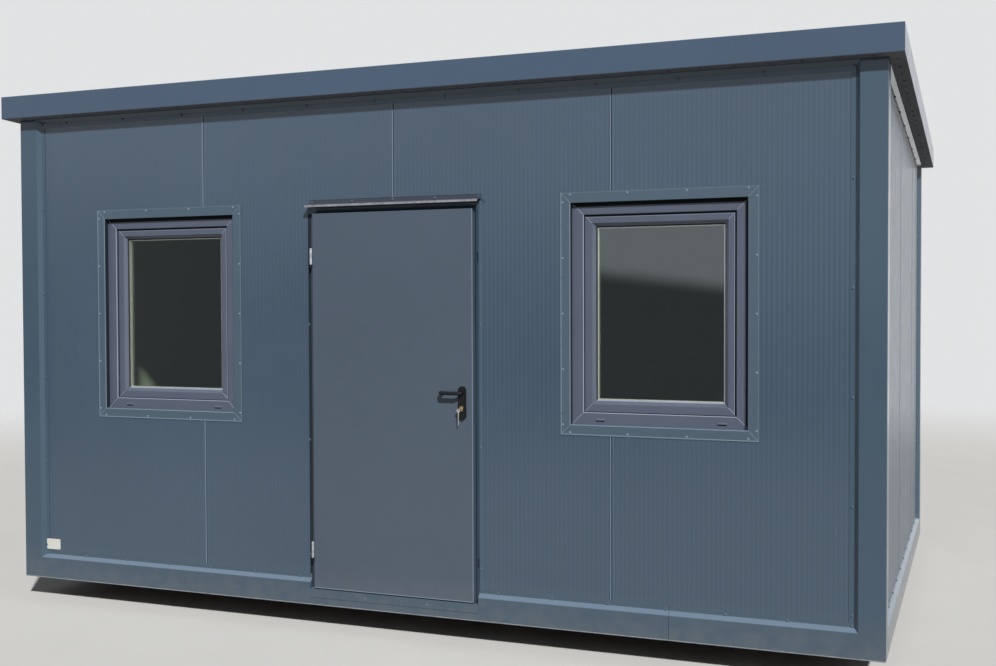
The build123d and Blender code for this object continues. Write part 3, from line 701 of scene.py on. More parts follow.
# %% Key lamp
TO_LAMP = Vector((0.72, -1.0, 0.92)).normalized()
KEY_STRENGTH = 4.6
key = bpy.data.objects.new("key", bpy.data.lights.new("key", "SUN"))
key.data.energy = KEY_STRENGTH
key.data.angle = radians(3.0)
key.matrix_world = TO_LAMP.to_track_quat("Z", "Y").to_matrix().to_4x4()
bpy.context.scene.collection.objects.link(key)
bpy.context.scene.view_settings.view_transform = "Standard"
print("key lamp:", KEY_STRENGTH)

# %% [markdown]
# ## Studio room
#
# A pale studio all round fills the shadows. Its walls are shown near white to the eye and
# through glass, and give less light than they show, so the paint keeps its depth. Gloss is seen
# by what it mirrors, and a room that is even all round would make paint and glass look flat,
# so what mirrors sees the same pale room with one softly darker wall, low in front of the
# cabin. Its upper edge leans a little. Panels of card round the cabin would do the same, but
# they would also throw shadows and stand in the way of other views.

# %% The darker wall that gloss mirrors
MIRRORED = 1.0
DARKER_WALL = 0.2
WALL_LEAN = 0.13
WALL_TOP = (-0.022, -0.004)
WALL_ENDS = (-0.8, -0.2)

world = bpy.data.worlds.new("studio")
world.use_nodes = True
bpy.context.scene.world = world
tree = world.node_tree
tree.nodes.clear()
way = add(tree, "ShaderNodeTexCoord").outputs["Object"]
way = add(tree, "ShaderNodeSeparateXYZ", {"Vector": way})
rise = add(tree, "ShaderNodeMath", {
    0: way.outputs["X"], 1: WALL_LEAN, 2: way.outputs["Z"],
}, operation="MULTIPLY_ADD")
above_wall = add(tree, "ShaderNodeMapRange", {
    "Value": rise, "From Min": WALL_TOP[0], "From Max": WALL_TOP[1],
}, interpolation_type="SMOOTHSTEP")
beside_wall = add(tree, "ShaderNodeMapRange", {
    "Value": way.outputs["Y"], "From Min": WALL_ENDS[0], "From Max": WALL_ENDS[1],
}, interpolation_type="SMOOTHSTEP")
open_room = add(tree, "ShaderNodeMath", {0: above_wall, 1: beside_wall}, operation="MAXIMUM")
strength = add(tree, "ShaderNodeMapRange", {
    "Value": open_room, "To Min": DARKER_WALL, "To Max": MIRRORED,
})
tone = add(tree, "ShaderNodeMix", {
    "Factor": beside_wall, "A": linear("#e9f2ff"), "B": linear("#ffffff"),
}, data_type="RGBA")
mirrored = add(tree, "ShaderNodeBackground", {"Color": tone, "Strength": strength})
print("mirrored room:", MIRRORED, "and its darker wall:", DARKER_WALL)

# %% What fills the shadows and what the eye sees
FILL_STRENGTH = 0.15
SHOWN_STRENGTH = 0.86
path = add(tree, "ShaderNodeLightPath")
seen = add(tree, "ShaderNodeMath", {
    0: path.outputs["Is Camera Ray"], 1: path.outputs["Is Transmission Ray"],
}, operation="MAXIMUM")
fill = add(tree, "ShaderNodeBackground", {"Color": linear("#f4f7fb"), "Strength": FILL_STRENGTH})
shown = add(tree, "ShaderNodeBackground", {"Color": linear("#f1f2f3"), "Strength": SHOWN_STRENGTH})
unseen = add(tree, "ShaderNodeMixShader", {0: path.outputs["Is Glossy Ray"], 1: fill, 2: mirrored})
room = add(tree, "ShaderNodeMixShader", {0: seen, 1: unseen, 2: shown})
add(tree, "ShaderNodeOutputWorld", {"Surface": room})
print("fill:", FILL_STRENGTH, "shown:", SHOWN_STRENGTH)

# %% [markdown]
# ## Studio floor
#
# A pale floor carries the cabin's shadow and fades into the room farther out, so that no edge
# cuts the picture. A curved backdrop is the usual way in a studio, but it stands behind the
# object from one side only. A pale floor this wide also sends light up under the roof edge, so
# for that bounce alone it is darker than it looks.

# %% Floor
FLOOR_SIZE = 60.0
FADE_START, FADE_END = 6.5, 15.0


def studio_floor(name, colour, blotch, bounce):
    """A pale floor that fades out with distance, and sends back less light than it shows."""
    material, tree, where = new_material(name)
    sent_back = add(tree, "ShaderNodeLightPath").outputs["Is Diffuse Ray"]
    distance = add(tree, "ShaderNodeVectorMath", {0: where}, operation="LENGTH").outputs["Value"]
    gone = add(tree, "ShaderNodeMapRange", {
        "Value": distance, "From Min": FADE_START, "From Max": FADE_END,
    }, interpolation_type="SMOOTHSTEP")
    uneven = add(tree, "ShaderNodeTexNoise", {
        "Vector": where, "Scale": 2.0, "Detail": 3.0, "Roughness": 0.55,
    })
    looks = add(tree, "ShaderNodeMix", {
        "Factor": uneven, "A": linear(colour), "B": linear(blotch),
    }, data_type="RGBA")
    tone = add(tree, "ShaderNodeMix", {
        "Factor": sent_back, "A": looks, "B": linear(bounce),
    }, data_type="RGBA")
    matt = add(tree, "ShaderNodeBsdfDiffuse", {"Color": tone})
    clear = add(tree, "ShaderNodeBsdfTransparent")
    faded = add(tree, "ShaderNodeMixShader", {0: gone, 1: matt, 2: clear})
    add(tree, "ShaderNodeOutputMaterial", {"Surface": faded})
    return material


mesh = bpy.data.meshes.new("floor")
corners = [(x * FLOOR_SIZE, y * FLOOR_SIZE, 0.0) for x, y in ((-1, -1), (1, -1), (1, 1), (-1, 1))]
mesh.from_pydata(corners, [], [(0, 1, 2, 3)])
floor = bpy.data.objects.new("floor", mesh)
floor.data.materials.append(studio_floor("pale studio floor", "#c8c6c2", "#cfcdc9", "#93918e"))
bpy.context.scene.collection.objects.link(floor)
print("floor fades from", FADE_START, "to", FADE_END, "m")

# %% [markdown]
# ## Growing what repeats
#
# Ribs, screws and rivets are one small shape many times over. Copies could be placed by a loop,
# but Geometry Nodes do it faster and stay easy to change. A cloud of loose points says where
# each goes and carries facts such as its length or the way it faces. The tree puts the shape on
# every point, and ends in Realize Instances and Set Material. The result is kept as a plain
# mesh and the modifier goes.

# %% Make a tree
WHOLE_NUMBERS = ("Sides", "Seed")


def new_tree(name, sizes):
    """A geometry tree with its geometry socket and named inputs for its sizes."""
    tree = bpy.data.node_groups.new(name, "GeometryNodeTree")
    tree.interface.new_socket("Geometry", in_out="INPUT", socket_type="NodeSocketGeometry")
    for label in sizes:
        kind = "NodeSocketInt" if label in WHOLE_NUMBERS else "NodeSocketFloat"
        tree.interface.new_socket(label, in_out="INPUT", socket_type=kind)
    tree.interface.new_socket("Material", in_out="INPUT", socket_type="NodeSocketMaterial")
    tree.interface.new_socket("Geometry", in_out="OUTPUT", socket_type="NodeSocketGeometry")
    return tree, tree.nodes.new("NodeGroupInput").outputs


def end_tree(tree, given, instances):
    """Realize Instances, Set Material and the output."""
    real = add(tree, "GeometryNodeRealizeInstances", {"Geometry": instances})
    dressed = add(tree, "GeometryNodeSetMaterial", {
        "Geometry": real, "Material": given["Material"],
    })
    add(tree, "NodeGroupOutput", {"Geometry": dressed})
    print(tree.name, "tree:", len(tree.nodes), "nodes")


print("inputs that are whole numbers:", *WHOLE_NUMBERS)


# %% Run a tree on points
def point_cloud(name, points, facts):
    """A mesh of loose points, each with its facts: a number or a direction."""
    cloud = bpy.data.meshes.new(name + "_points")
    cloud.from_pydata(points, [], [])
    for fact, values in facts.items():
        is_vector = isinstance(values[0], Vector)
        layer = cloud.attributes.new(fact, "FLOAT_VECTOR" if is_vector else "FLOAT", "POINT")
        for place, value in enumerate(values):
            if is_vector:
                layer.data[place].vector = value
            else:
                layer.data[place].value = value
    return cloud


def grow(name, tree, points, facts, inputs):
    """Runs a tree on a cloud of points and keeps the result as a plain mesh."""
    piece = bpy.data.objects.new(name, point_cloud(name, points, facts))
    bpy.context.scene.collection.objects.link(piece)
    modifier = piece.modifiers.new("grow", "NODES")
    modifier.node_group = tree
    for item in tree.interface.items_tree:
        if item.in_out == "INPUT" and item.name in inputs:
            modifier[item.identifier] = inputs[item.name]
    ready = piece.evaluated_get(bpy.context.evaluated_depsgraph_get())
    mesh = bpy.data.meshes.new_from_object(ready)
    piece.modifiers.clear()
    piece.data = mesh
    mesh.name = name
    for fact in facts:
        layer = mesh.attributes.get(fact)
        if layer:
            mesh.attributes.remove(layer)
    return piece


def belongs(piece, body):
    """Lets a finished piece ride on its body."""
    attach(piece, body)
    return piece


print("trees run on points of the four walls, which are", round(2 * HALF_LENGTH, 2), "m and",
      round(2 * HALF_DEPTH, 2), "m long")

# %% [markdown]
# ## Fine ribs of the wall panels
#
# Each panel's outer sheet is rolled with about fifty shallow ribs, which stiffen it and hide
# dents. They are well under a millimetre high but they give the walls their striped look in low
# sun. A bump texture would show them from the front only and would be lost with the material,
# so they are real shapes: long bars with sloping flanks, one for each rib, standing on the
# packed panel's face and sunk into it a little, so that no gap shows.

# %% Rib tree: the bar with its foot and crest
RIB_PITCH = 23 * MM
RIB_CREST = 9.0 * MM
RIB_FOOT = 15.0 * MM
RIB_HEIGHT = 0.6 * MM
RIB_SUNK = 0.2 * MM

rib_tree, given = new_tree("ribs", ("Crest", "Foot", "Height", "Sunk"))
deep = add(rib_tree, "ShaderNodeMath", {0: given["Height"], 1: given["Sunk"]}, operation="ADD")
size = add(rib_tree, "ShaderNodeCombineXYZ", {"X": given["Crest"], "Y": deep, "Z": 1.0})
cube = add(rib_tree, "GeometryNodeMeshCube", {"Size": size})
place = add(rib_tree, "GeometryNodeInputPosition")
place = add(rib_tree, "ShaderNodeSeparateXYZ", {"Vector": place})
behind = add(rib_tree, "FunctionNodeCompare", {"A": place.outputs["Y"], "B": 0.0},
             data_type="FLOAT", operation="GREATER_THAN")
widen = add(rib_tree, "ShaderNodeMath", {0: given["Foot"], 1: given["Crest"]}, operation="DIVIDE")
wide = add(rib_tree, "GeometryNodeSwitch", {
    "Switch": behind, "False": 1.0, "True": widen,
}, input_type="FLOAT")
across = add(rib_tree, "ShaderNodeMath", {0: place.outputs["X"], 1: wide}, operation="MULTIPLY")
half = add(rib_tree, "ShaderNodeMath", {0: given["Sunk"], 1: given["Height"]}, operation="SUBTRACT")
half = add(rib_tree, "ShaderNodeMath", {0: half, 1: 0.5}, operation="MULTIPLY")
inwards = add(rib_tree, "ShaderNodeMath", {0: place.outputs["Y"], 1: half})
standing = add(rib_tree, "ShaderNodeMath", {0: place.outputs["Z"], 1: 0.5})
moved = add(rib_tree, "ShaderNodeCombineXYZ", {"X": across, "Y": inwards, "Z": standing})
shaped = add(rib_tree, "GeometryNodeSetPosition", {"Geometry": cube, "Position": moved})
print("rib:", RIB_CREST / MM, "mm at the crest,", RIB_FOOT / MM, "mm at the foot")

# %% Rib tree: one bar on each point, as long as the point says
rise = add(rib_tree, "GeometryNodeInputNamedAttribute", {"Name": "rise"}, data_type="FLOAT")
turned = add(rib_tree, "GeometryNodeInputNamedAttribute", {"Name": "turn"}, data_type="FLOAT")
stretch = add(rib_tree, "ShaderNodeCombineXYZ", {"X": 1.0, "Y": 1.0, "Z": rise})
euler = add(rib_tree, "ShaderNodeCombineXYZ", {"Z": turned})
rotation = add(rib_tree, "FunctionNodeEulerToRotation", {"Euler": euler})
ribs = add(rib_tree, "GeometryNodeInstanceOnPoints", {
    "Points": given["Geometry"], "Instance": shaped, "Rotation": rotation, "Scale": stretch,
})
end_tree(rib_tree, given, ribs)

# %% [markdown]
# ## Where the ribs go
#
# A rib stops at the lips of the frame and where a window or the door is. The ribs could run on
# behind them, but they would then cut through the flashings, which lie on the panel's face. The
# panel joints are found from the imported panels, and the ribs are spaced evenly between them.

# %% Openings and panel joints
JOINT_MARGIN = 15 * MM
SIDE_FIRST_JOINT = 1250 * MM
PARTS = ("flashing", "frame", "sash", "glass")
windows = {
    name: {part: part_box(f"{name}_window_{part}") for part in PARTS} for name in ("left", "right")
}
portal_low, portal_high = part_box("door_frame")
drip_low, drip_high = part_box("door_drip")
OPENINGS = []
for boxes in windows.values():
    low, high = boxes["flashing"]
    OPENINGS.append((low.x, high.x, low.z, high.z))
OPENINGS.append((portal_low.x, portal_high.x, 0.0, drip_high.z))
first, last = (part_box(name)[0].x - 1 * MM for name in ("front_wall_door_left", "front_wall_right"))
PANEL_COVER = (last - first) / 2
FRONT_JOINTS = [first + PANEL_COVER * step for step in (0, 1, 2)]
SIDE_JOINTS = [SIDE_FIRST_JOINT - HALF_DEPTH + PANEL_COVER * step for step in (0, 1)]
JOINTS = {
    "front": FRONT_JOINTS,
    "right": SIDE_JOINTS,
    "rear": [-place for place in FRONT_JOINTS],
    "left": [-place for place in SIDE_JOINTS],
}
print("panel cover:", round(PANEL_COVER / MM), "mm")


# %% Ribs on the four walls
def clear_heights(side, across):
    """The heights between which a rib is seen, split by the openings that it meets."""
    low, high = RAIL_TOP, top_lip(side, across)
    if side != "front":
        return [(low, high)]
    for start, end, foot, head in OPENINGS:
        if start - RIB_FOOT / 2 < across < end + RIB_FOOT / 2:
            below = [(low, foot)] if foot > low else []
            return below + [(head, high)]
    return [(low, high)]


def rib_places(side):
    """Where the ribs of a wall stand, evenly spaced between one panel joint and the next."""
    count = round((PANEL_COVER - 2 * JOINT_MARGIN) / RIB_PITCH)
    pitch = (PANEL_COVER - 2 * JOINT_MARGIN) / count
    edge = span(side) - LIP_REACH - RIB_FOOT / 2
    joints = sorted(JOINTS[side])
    places = []
    for start in [joints[0] - PANEL_COVER] + joints:
        for step in range(count):
            across = start + JOINT_MARGIN + pitch * (step + 0.5)
            if -edge < across < edge:
                places.append(across)
    return places


for side in TURNS:
    points, rises = [], []
    for across in rib_places(side):
        for low, high in clear_heights(side, across):
            points.append(on_wall(side, across, PANEL_DEPTH, low))
            rises.append(high - low)
    ribs = grow(f"{side}_wall_ribs", rib_tree, points, {
        "rise": rises, "turn": [radians(TURNS[side])] * len(points),
    }, {
        "Crest": RIB_CREST, "Foot": RIB_FOOT, "Height": RIB_HEIGHT, "Sunk": RIB_SUNK,
        "Material": panel_paint,
    })
    belongs(ribs, "cabin")
    print(side, "wall:", len(points), "ribs,", len(ribs.data.polygons), "faces")

# %% [markdown]
# ## Screws and rivets
#
# The lips of the frame are fixed through the panels with painted washer head screws, and so are
# the soffit and the door's drip. The window flashings and the door frame have blind rivets. All
# are a flat washer and a tapered head that differ only in their sizes and number of sides, so
# one tree makes them all, turned to face the way its point says. Real screws stop at any angle,
# so each is spun by a random one, with a fixed seed.

# %% Fastener tree: washer and head
FASTENER_SIZES = ("Washer radius", "Washer height", "Head radius", "Top radius", "Head height",
                  "Sides", "Seed")
WASHER_SIDES = 14
fastener_tree, given = new_tree("fasteners", FASTENER_SIZES)


def lifted_cone(tree, top, bottom, height, base, sides):
    """A cone or disc that stands on the given height."""
    cone = add(tree, "GeometryNodeMeshCone", {
        "Vertices": sides, "Radius Top": top, "Radius Bottom": bottom, "Depth": height,
    })
    lift = add(tree, "ShaderNodeCombineXYZ", {"Z": base})
    return add(tree, "GeometryNodeTransform", {"Geometry": cone, "Translation": lift})


washer = lifted_cone(fastener_tree, given["Washer radius"], given["Washer radius"],
                     given["Washer height"], 0.0, WASHER_SIDES)
head = lifted_cone(fastener_tree, given["Top radius"], given["Head radius"],
                   given["Head height"], given["Washer height"], given["Sides"])
whole = add(fastener_tree, "GeometryNodeJoinGeometry")
fastener_tree.links.new(washer.outputs[0], whole.inputs[0])
fastener_tree.links.new(head.outputs[0], whole.inputs[0])
print("washer of", WASHER_SIDES, "sides")

# %% Fastener tree: one on each point, turned and spun
facing = add(fastener_tree, "GeometryNodeInputNamedAttribute", {"Name": "facing"},
             data_type="FLOAT_VECTOR")
aimed = add(fastener_tree, "FunctionNodeAlignRotationToVector", {"Vector": facing}, axis="Z")
placed = add(fastener_tree, "GeometryNodeInstanceOnPoints", {
    "Points": given["Geometry"], "Instance": whole, "Rotation": aimed,
})
chance = add(fastener_tree, "FunctionNodeRandomValue", {
    "Max": 2 * pi, "Seed": given["Seed"],
}, data_type="FLOAT")
spin = add(fastener_tree, "ShaderNodeCombineXYZ", {"Z": chance})
spun = add(fastener_tree, "GeometryNodeRotateInstances", {"Instances": placed, "Rotation": spin})
end_tree(fastener_tree, given, spun)

# %% Sizes of the fasteners, and a way to set them
SCREW = {"Washer radius": 6.5 * MM, "Washer height": 1.2 * MM, "Head radius": 4.6 * MM,
         "Top radius": 4.3 * MM, "Head height": 4.5 * MM, "Sides": 6, "Seed": 3}
RIVET = {"Washer radius": 6.0 * MM, "Washer height": 0.6 * MM, "Head radius": 5.0 * MM,
         "Top radius": 2.8 * MM, "Head height": 2.6 * MM, "Sides": 12, "Seed": 5}


def even(start, end, pitch):
    """Places from start to end at about the given pitch."""
    count = max(1, round((end - start) / pitch))
    return [start + (end - start) * step / count for step in range(count + 1)]


def fasteners(name, places, kind, material):
    """Grows screws or rivets on the cabin at places, each a point and the way it faces."""
    points = [point for point, way in places]
    piece = grow(name, fastener_tree, points, {"facing": [way for point, way in places]},
                 {**kind, "Material": material})
    belongs(piece, "cabin")
    print(name, len(places), "pieces")


print("screw and rivet:", 2 * SCREW["Washer radius"] / MM, "and",
      2 * RIVET["Washer radius"] / MM, "mm across")

# %% Screws of the frame's lips
LIP_MIDDLE = 15 * MM
BOTTOM_PITCH, TOP_PITCH, POST_PITCH = 277 * MM, 410 * MM, 485 * MM
TOP_START = 170 * MM
DOORWAY = (portal_low.x - 20 * MM, portal_high.x + 20 * MM)
for side in TURNS:
    way = outwards(side)
    edge = span(side) - LIP_REACH + LIP_MIDDLE
    places = []
    for across in even(-edge, edge, BOTTOM_PITCH):
        in_doorway = side == "front" and DOORWAY[0] < across < DOORWAY[1]
        if not in_doorway:
            places.append((on_wall(side, across, LIP_DEPTH, RAIL_TOP - LIP_MIDDLE), way))
    for across in even(-edge + TOP_START, edge, TOP_PITCH)[:-1]:
        places.append((on_wall(side, across, LIP_DEPTH, top_lip(side, across) + LIP_MIDDLE), way))
    for across in (-edge, edge):
        head_height = top_lip(side, across) + LIP_MIDDLE
        for height in even(RAIL_TOP + 30 * MM, head_height, POST_PITCH):
            places.append((on_wall(side, across, LIP_DEPTH, height), way))
    fasteners(f"{side}_frame_screws", places, SCREW, screw_paint)

# %% Screws of the soffit, which falls to the rear
SOFFIT_PITCH = 150 * MM
SOFFIT_END = 60 * MM
SOFFIT_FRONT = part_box("front_fascia")[0].z
SOFFIT_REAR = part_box("rear_fascia")[0].z
ROOF_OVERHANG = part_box("right_fascia")[1].x - HALF_LENGTH
SOFFIT_FALL = (SOFFIT_FRONT - SOFFIT_REAR) / (2 * HALF_DEPTH + ROOF_OVERHANG)
down = Vector((0, -SOFFIT_FALL, -1)).normalized()
places = []
for side in TURNS:
    edge = span(side) - SOFFIT_END
    for across in even(-edge, edge, SOFFIT_PITCH):
        spot = on_wall(side, across, -ROOF_OVERHANG / 2, 0)
        spot.z = SOFFIT_FRONT - (spot.y + HALF_DEPTH + ROOF_OVERHANG) * SOFFIT_FALL
        places.append((spot, down))
fasteners("soffit_screws", places, SCREW, screw_paint)

# %% Screws of the door's drip
DRIP_FLANGE = 20 * MM
DRIP_PITCH = 240 * MM
SHEET_FACE = PANEL_DEPTH - 2 * MM
way = outwards("front")
places = []
for across in even(drip_low.x + 15 * MM, drip_high.x - 15 * MM, DRIP_PITCH):
    places.append((on_wall("front", across, SHEET_FACE, drip_high.z - DRIP_FLANGE / 2), way))
fasteners("drip_screws", places, SCREW, screw_paint)

# %% Rivets of the threshold and door frame
THRESHOLD_SHARES = (0.332, 0.718)
PORTAL_EDGE = 7 * MM
PORTAL_PITCH = 630 * MM
leaf_low, leaf_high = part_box("door_leaf")
threshold_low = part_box("door_threshold")[0]
foot_height = (threshold_low.z + leaf_low.z) / 2 - 8 * MM
places = []
for share in THRESHOLD_SHARES:
    across = leaf_low.x + (leaf_high.x - leaf_low.x) * share
    places.append((on_wall("front", across, threshold_low.y + HALF_DEPTH, foot_height), way))
for across in (portal_low.x + PORTAL_EDGE, portal_high.x - PORTAL_EDGE):
    for height in even(RAIL_TOP + 100 * MM, portal_high.z - 12 * MM, PORTAL_PITCH):
        places.append((on_wall("front", across, SHEET_FACE, height), way))
fasteners("door_frame_screws", places, RIVET, screw_paint)

# %% Rivets of the window flashings
HEM_RISE = 1.2 * MM
RIVET_EDGE = 13 * MM
RIVET_CORNER = 50 * MM
RIVET_ACROSS, RIVET_UP = 285 * MM, 270 * MM
for name, boxes in windows.items():
    low, high = boxes["flashing"]
    depth = low.y + HALF_DEPTH + HEM_RISE
    places = []
    for across in even(low.x + RIVET_CORNER, high.x - RIVET_CORNER, RIVET_ACROSS):
        for height in (low.z + RIVET_EDGE, high.z - RIVET_EDGE):
            places.append((on_wall("front", across, depth, height), way))
    for height in even(low.z + RIVET_CORNER, high.z - RIVET_CORNER, RIVET_UP):
        for across in (low.x + RIVET_EDGE, high.x - RIVET_EDGE):
            places.append((on_wall("front", across, depth, height), way))
    # The flashing rivets in the paler paint: a painted highlight.
    fasteners(f"{name}_flashing_rivets", places, RIVET, highlight_paint)

# %% [markdown]
# ## Shapes from points
#
# What is left runs along an edge or is a small part of its own: seals, tape, rims, keys. A curve
# with a bevel could sweep each one, but its corners would have to be put right by hand. A short
# function that works out the corners and the faces between them is exact, and shows how a mesh
# is made. Faces are listed in any order, and are turned outwards once the shape is whole.

# %% Make a piece from corners and faces
PRISM = [(0, 1, 2, 3), (4, 5, 6, 7), (0, 1, 5, 4), (1, 2, 6, 5), (2, 3, 7, 6), (3, 0, 4, 7)]


def add_shape(name, shape, material, body):
    """A mesh piece from a shape's vertices and faces, with its faces turned outwards."""
    vertices, faces = shape
    form = bmesh.new()
    made = [form.verts.new(vertex) for vertex in vertices]
    for face in faces:
        form.faces.new([made[index] for index in face])
    bmesh.ops.recalc_face_normals(form, faces=form.faces)
    mesh = bpy.data.meshes.new(name)
    form.to_mesh(mesh)
    form.free()
    mesh.materials.append(material)
    piece = bpy.data.objects.new(name, mesh)
    bpy.context.scene.collection.objects.link(piece)
    print(name, len(mesh.polygons), "faces")
    return belongs(piece, body)


def joined(parts):
    """Several shapes as one list of vertices and one of faces."""
    vertices, faces = [], []
    for some_vertices, some_faces in parts:
        start = len(vertices)
        vertices += some_vertices
        faces += [tuple(start + index for index in face) for face in some_faces]
    return vertices, faces


def bar(start, end, normal, width, height):
    """A thin bar with bevelled flanks lying on a surface from start to end."""
    run = (end - start).normalized()
    across = run.cross(normal).normalized()
    vertices = []
    for place in (start, end):
        for half, lift in ((-1, 0), (-0.6, 1), (0.6, 1), (1, 0)):
            vertices.append(place + across * (half * width / 2) + normal * (lift * height))
    return vertices, PRISM


print("a bar or wedge has", len(PRISM), "faces")

# %% [markdown]
# ## Panel joints
#
# Where two panels meet, the sheet of each is rolled in over its last few millimetres, so the
# joint is a shallow valley between two soft shoulders, with a black seal at its bottom. One
# shoulder catches the sun and the other lies in its own shade, which draws the joint as a light
# and a dark line. The steep flanks also take the panel coat's lighter colour for aslant faces,
# a painted highlight. A groove cut into the panel would show a bare slit instead. Each shoulder
# is a long low wedge with a short steep flank towards the joint.

# %% Rolled shoulders and seal at the joints
SHOULDER = [(2.2, 0.3), (5.2, -2.0), (6.6, -2.1), (14.5, 0.2)]
JOINT_SEAL = 3 * MM
SEAL_DEPTH = PANEL_DEPTH + 0.8 * MM
shoulders, seals = [], []
for side in TURNS:
    for joint in JOINTS[side]:
        for low, high in clear_heights(side, joint):
            ends = [on_wall(side, joint, SEAL_DEPTH, up) for up in (low, high)]
            seals.append(bar(*ends, outwards(side), JOINT_SEAL, 0.9 * MM))
            for hand in (-1, 1):
                vertices = [on_wall(side, joint + hand * across * MM, PANEL_DEPTH + depth * MM, up)
                            for up in (low, high) for across, depth in SHOULDER]
                shoulders.append((vertices, PRISM))
# The shoulders' steep flanks take the panel coat's painted highlight.
add_shape("panel_joint_shoulders", joined(shoulders), panel_paint, "cabin")
add_shape("panel_joint_seals", joined(seals), rubber, "cabin")

# %% [markdown]
# ## Frames round an opening
#
# Seals, tape, beads and the spacer between the panes all run round a rectangle with mitred
# corners. Four bars would have to be cut to meet there. A small cross-section, given as insets
# from the rectangle's edge and depths into the wall, makes its own mitres when it is carried
# round the four corners, or along some of the sides.

# %% Rings with mitred corners
RUNS = {"foot": (0, 1), "right": (1, 2), "head": (2, 3), "left": (3, 0)}


def near(box):
    """Depth of a box's front behind the frame's face."""
    return box[0].y + HALF_DEPTH


def drawn_in(box, width):
    """A rectangle on the front wall, smaller by a width on each side."""
    step = Vector((width, 0, width))
    return box[0] + step, box[1] - step


def corners_of(box):
    """The corners of a rectangle on the front wall, each with the ways that lead into it."""
    low, high = box
    below = [(low.x, low.z, 1, 1), (high.x, low.z, -1, 1)]
    return below + [(high.x, high.z, -1, -1), (low.x, high.z, 1, -1)]


def ring(box, section, sides=("left", "foot", "right", "head")):
    """A section carried round a rectangle's mitred corners, or along some of its sides."""
    vertices, faces = [], []
    count = len(section)
    for x, z, along, up in corners_of(box):
        for inset, depth in section:
            vertices.append((x + along * inset, depth - HALF_DEPTH, z + up * inset))
    for side in sides:
        start, end = (corner * count for corner in RUNS[side])
        for index in range(count):
            after = (index + 1) % count
            faces.append((start + index, start + after, end + after, end + index))
    for side in sides:
        for corner in RUNS[side]:
            open_end = sum(corner in RUNS[other] for other in sides) == 1
            if open_end:
                faces.append(tuple(corner * count + index for index in range(count)))
    return vertices, faces


for name, boxes in windows.items():
    print(name, "window: frame", round(near(boxes["frame"]) / MM), "mm deep, glass",
          round(near(boxes["glass"]) / MM), "mm")

# %% [markdown]
# ## Seals, tape and painted shadow of the windows
#
# A window stands in the reveal of its flashing on black sealing tape, and its sash closes on a
# rubber seal. In low sun these are the dark lines that set frame and sash apart. At the head and
# right, black strips on the frame and a wider black seal on the sash are painted shadow: they
# draw the shade that the flashing and frame cast there. Shade alone would go when the lamp
# moves; black pieces stay.

# %% Tape between flashing and frame, and painted shadow at head and right
REVEAL_SHADOW_WIDTHS = (("head", 18 * MM), ("right", 13 * MM))
for name, boxes in windows.items():
    flat = near(boxes["flashing"]) + HEM_RISE
    frame_near = near(boxes["frame"])
    strip = [(0, flat + 3 * MM), (0.8 * MM, flat + 3.6 * MM), (0.8 * MM, frame_near - 0.5 * MM),
             (0, frame_near - 0.5 * MM)]
    tapes = ring(drawn_in(boxes["frame"], -0.3 * MM), strip, ("left", "head", "right"))
    add_shape(f"{name}_reveal_tape", tapes, tape, "cabin")
    shadow_strips = []
    for side, width in REVEAL_SHADOW_WIDTHS:
        # This black strip on the frame is painted shadow.
        foam = [(0, frame_near + 0.5 * MM), (0, frame_near - 0.6 * MM),
                (width, frame_near - 0.6 * MM), (width + 1 * MM, frame_near + 0.5 * MM)]
        shadow_strips.append(ring(boxes["frame"], foam, (side,)))
    add_shape(f"{name}_reveal_painted_shadow", joined(shadow_strips), slot_black, "cabin")

# %% Seal between frame and sash, wider at head and right as painted shadow
# Wider at the right and head, the seal draws the sash's shadow there: painted shadow.
SASH_SEAL_AND_SHADOW_WIDTHS = ((("foot", "left"), 3.5 * MM), (("right", "head"), 9 * MM))
for name, boxes in windows.items():
    sash_near = near(boxes["sash"])
    seals = []
    for sides, width in SASH_SEAL_AND_SHADOW_WIDTHS:
        lips = [(-0.2 * MM, sash_near + 1.5 * MM), (-0.2 * MM, sash_near - 2 * MM),
                (0.8 * MM, sash_near - 2.5 * MM), (width - 1 * MM, sash_near - 1 * MM),
                (width, sash_near + 1.5 * MM)]
        seals.append(ring(boxes["sash"], lips, sides))
    add_shape(f"{name}_sash_seal_and_painted_shadow", joined(seals), slot_black, "cabin")

# %% [markdown]
# ## Glazing
#
# The glass sits in a rebate of the sash, held by a bead and sealed with rubber. On the right and
# foot the bead is paler foil, a painted highlight; on the left and head only the black seal
# shows, painted shade.
# Between the panes runs an aluminium spacer, bright behind the edge of the glass. The packed
# glass is one block 24 mm thick. One block would mirror only twice, so two panes of 4 mm take
# its place, and the block is hidden.

# %% Seal and bead round the glass
GLASS_LAP = 7.3 * MM
for name, boxes in windows.items():
    glass_near = near(boxes["glass"])
    mouth = drawn_in(boxes["glass"], GLASS_LAP)
    bead = [(-0.5 * MM, glass_near), (-0.5 * MM, glass_near - 2.5 * MM),
            (2.5 * MM, glass_near - 2 * MM), (5.5 * MM, glass_near)]
    # Black seal on the left and head only: painted shade.
    add_shape(f"{name}_glass_seal", ring(mouth, bead, ("left", "head")), rubber,
              "cabin")
    # Paler foil bead on the right and foot: painted highlight.
    add_shape(f"{name}_glazing_bead", ring(mouth, bead, ("right", "foot")), foil_highlight,
              "cabin")

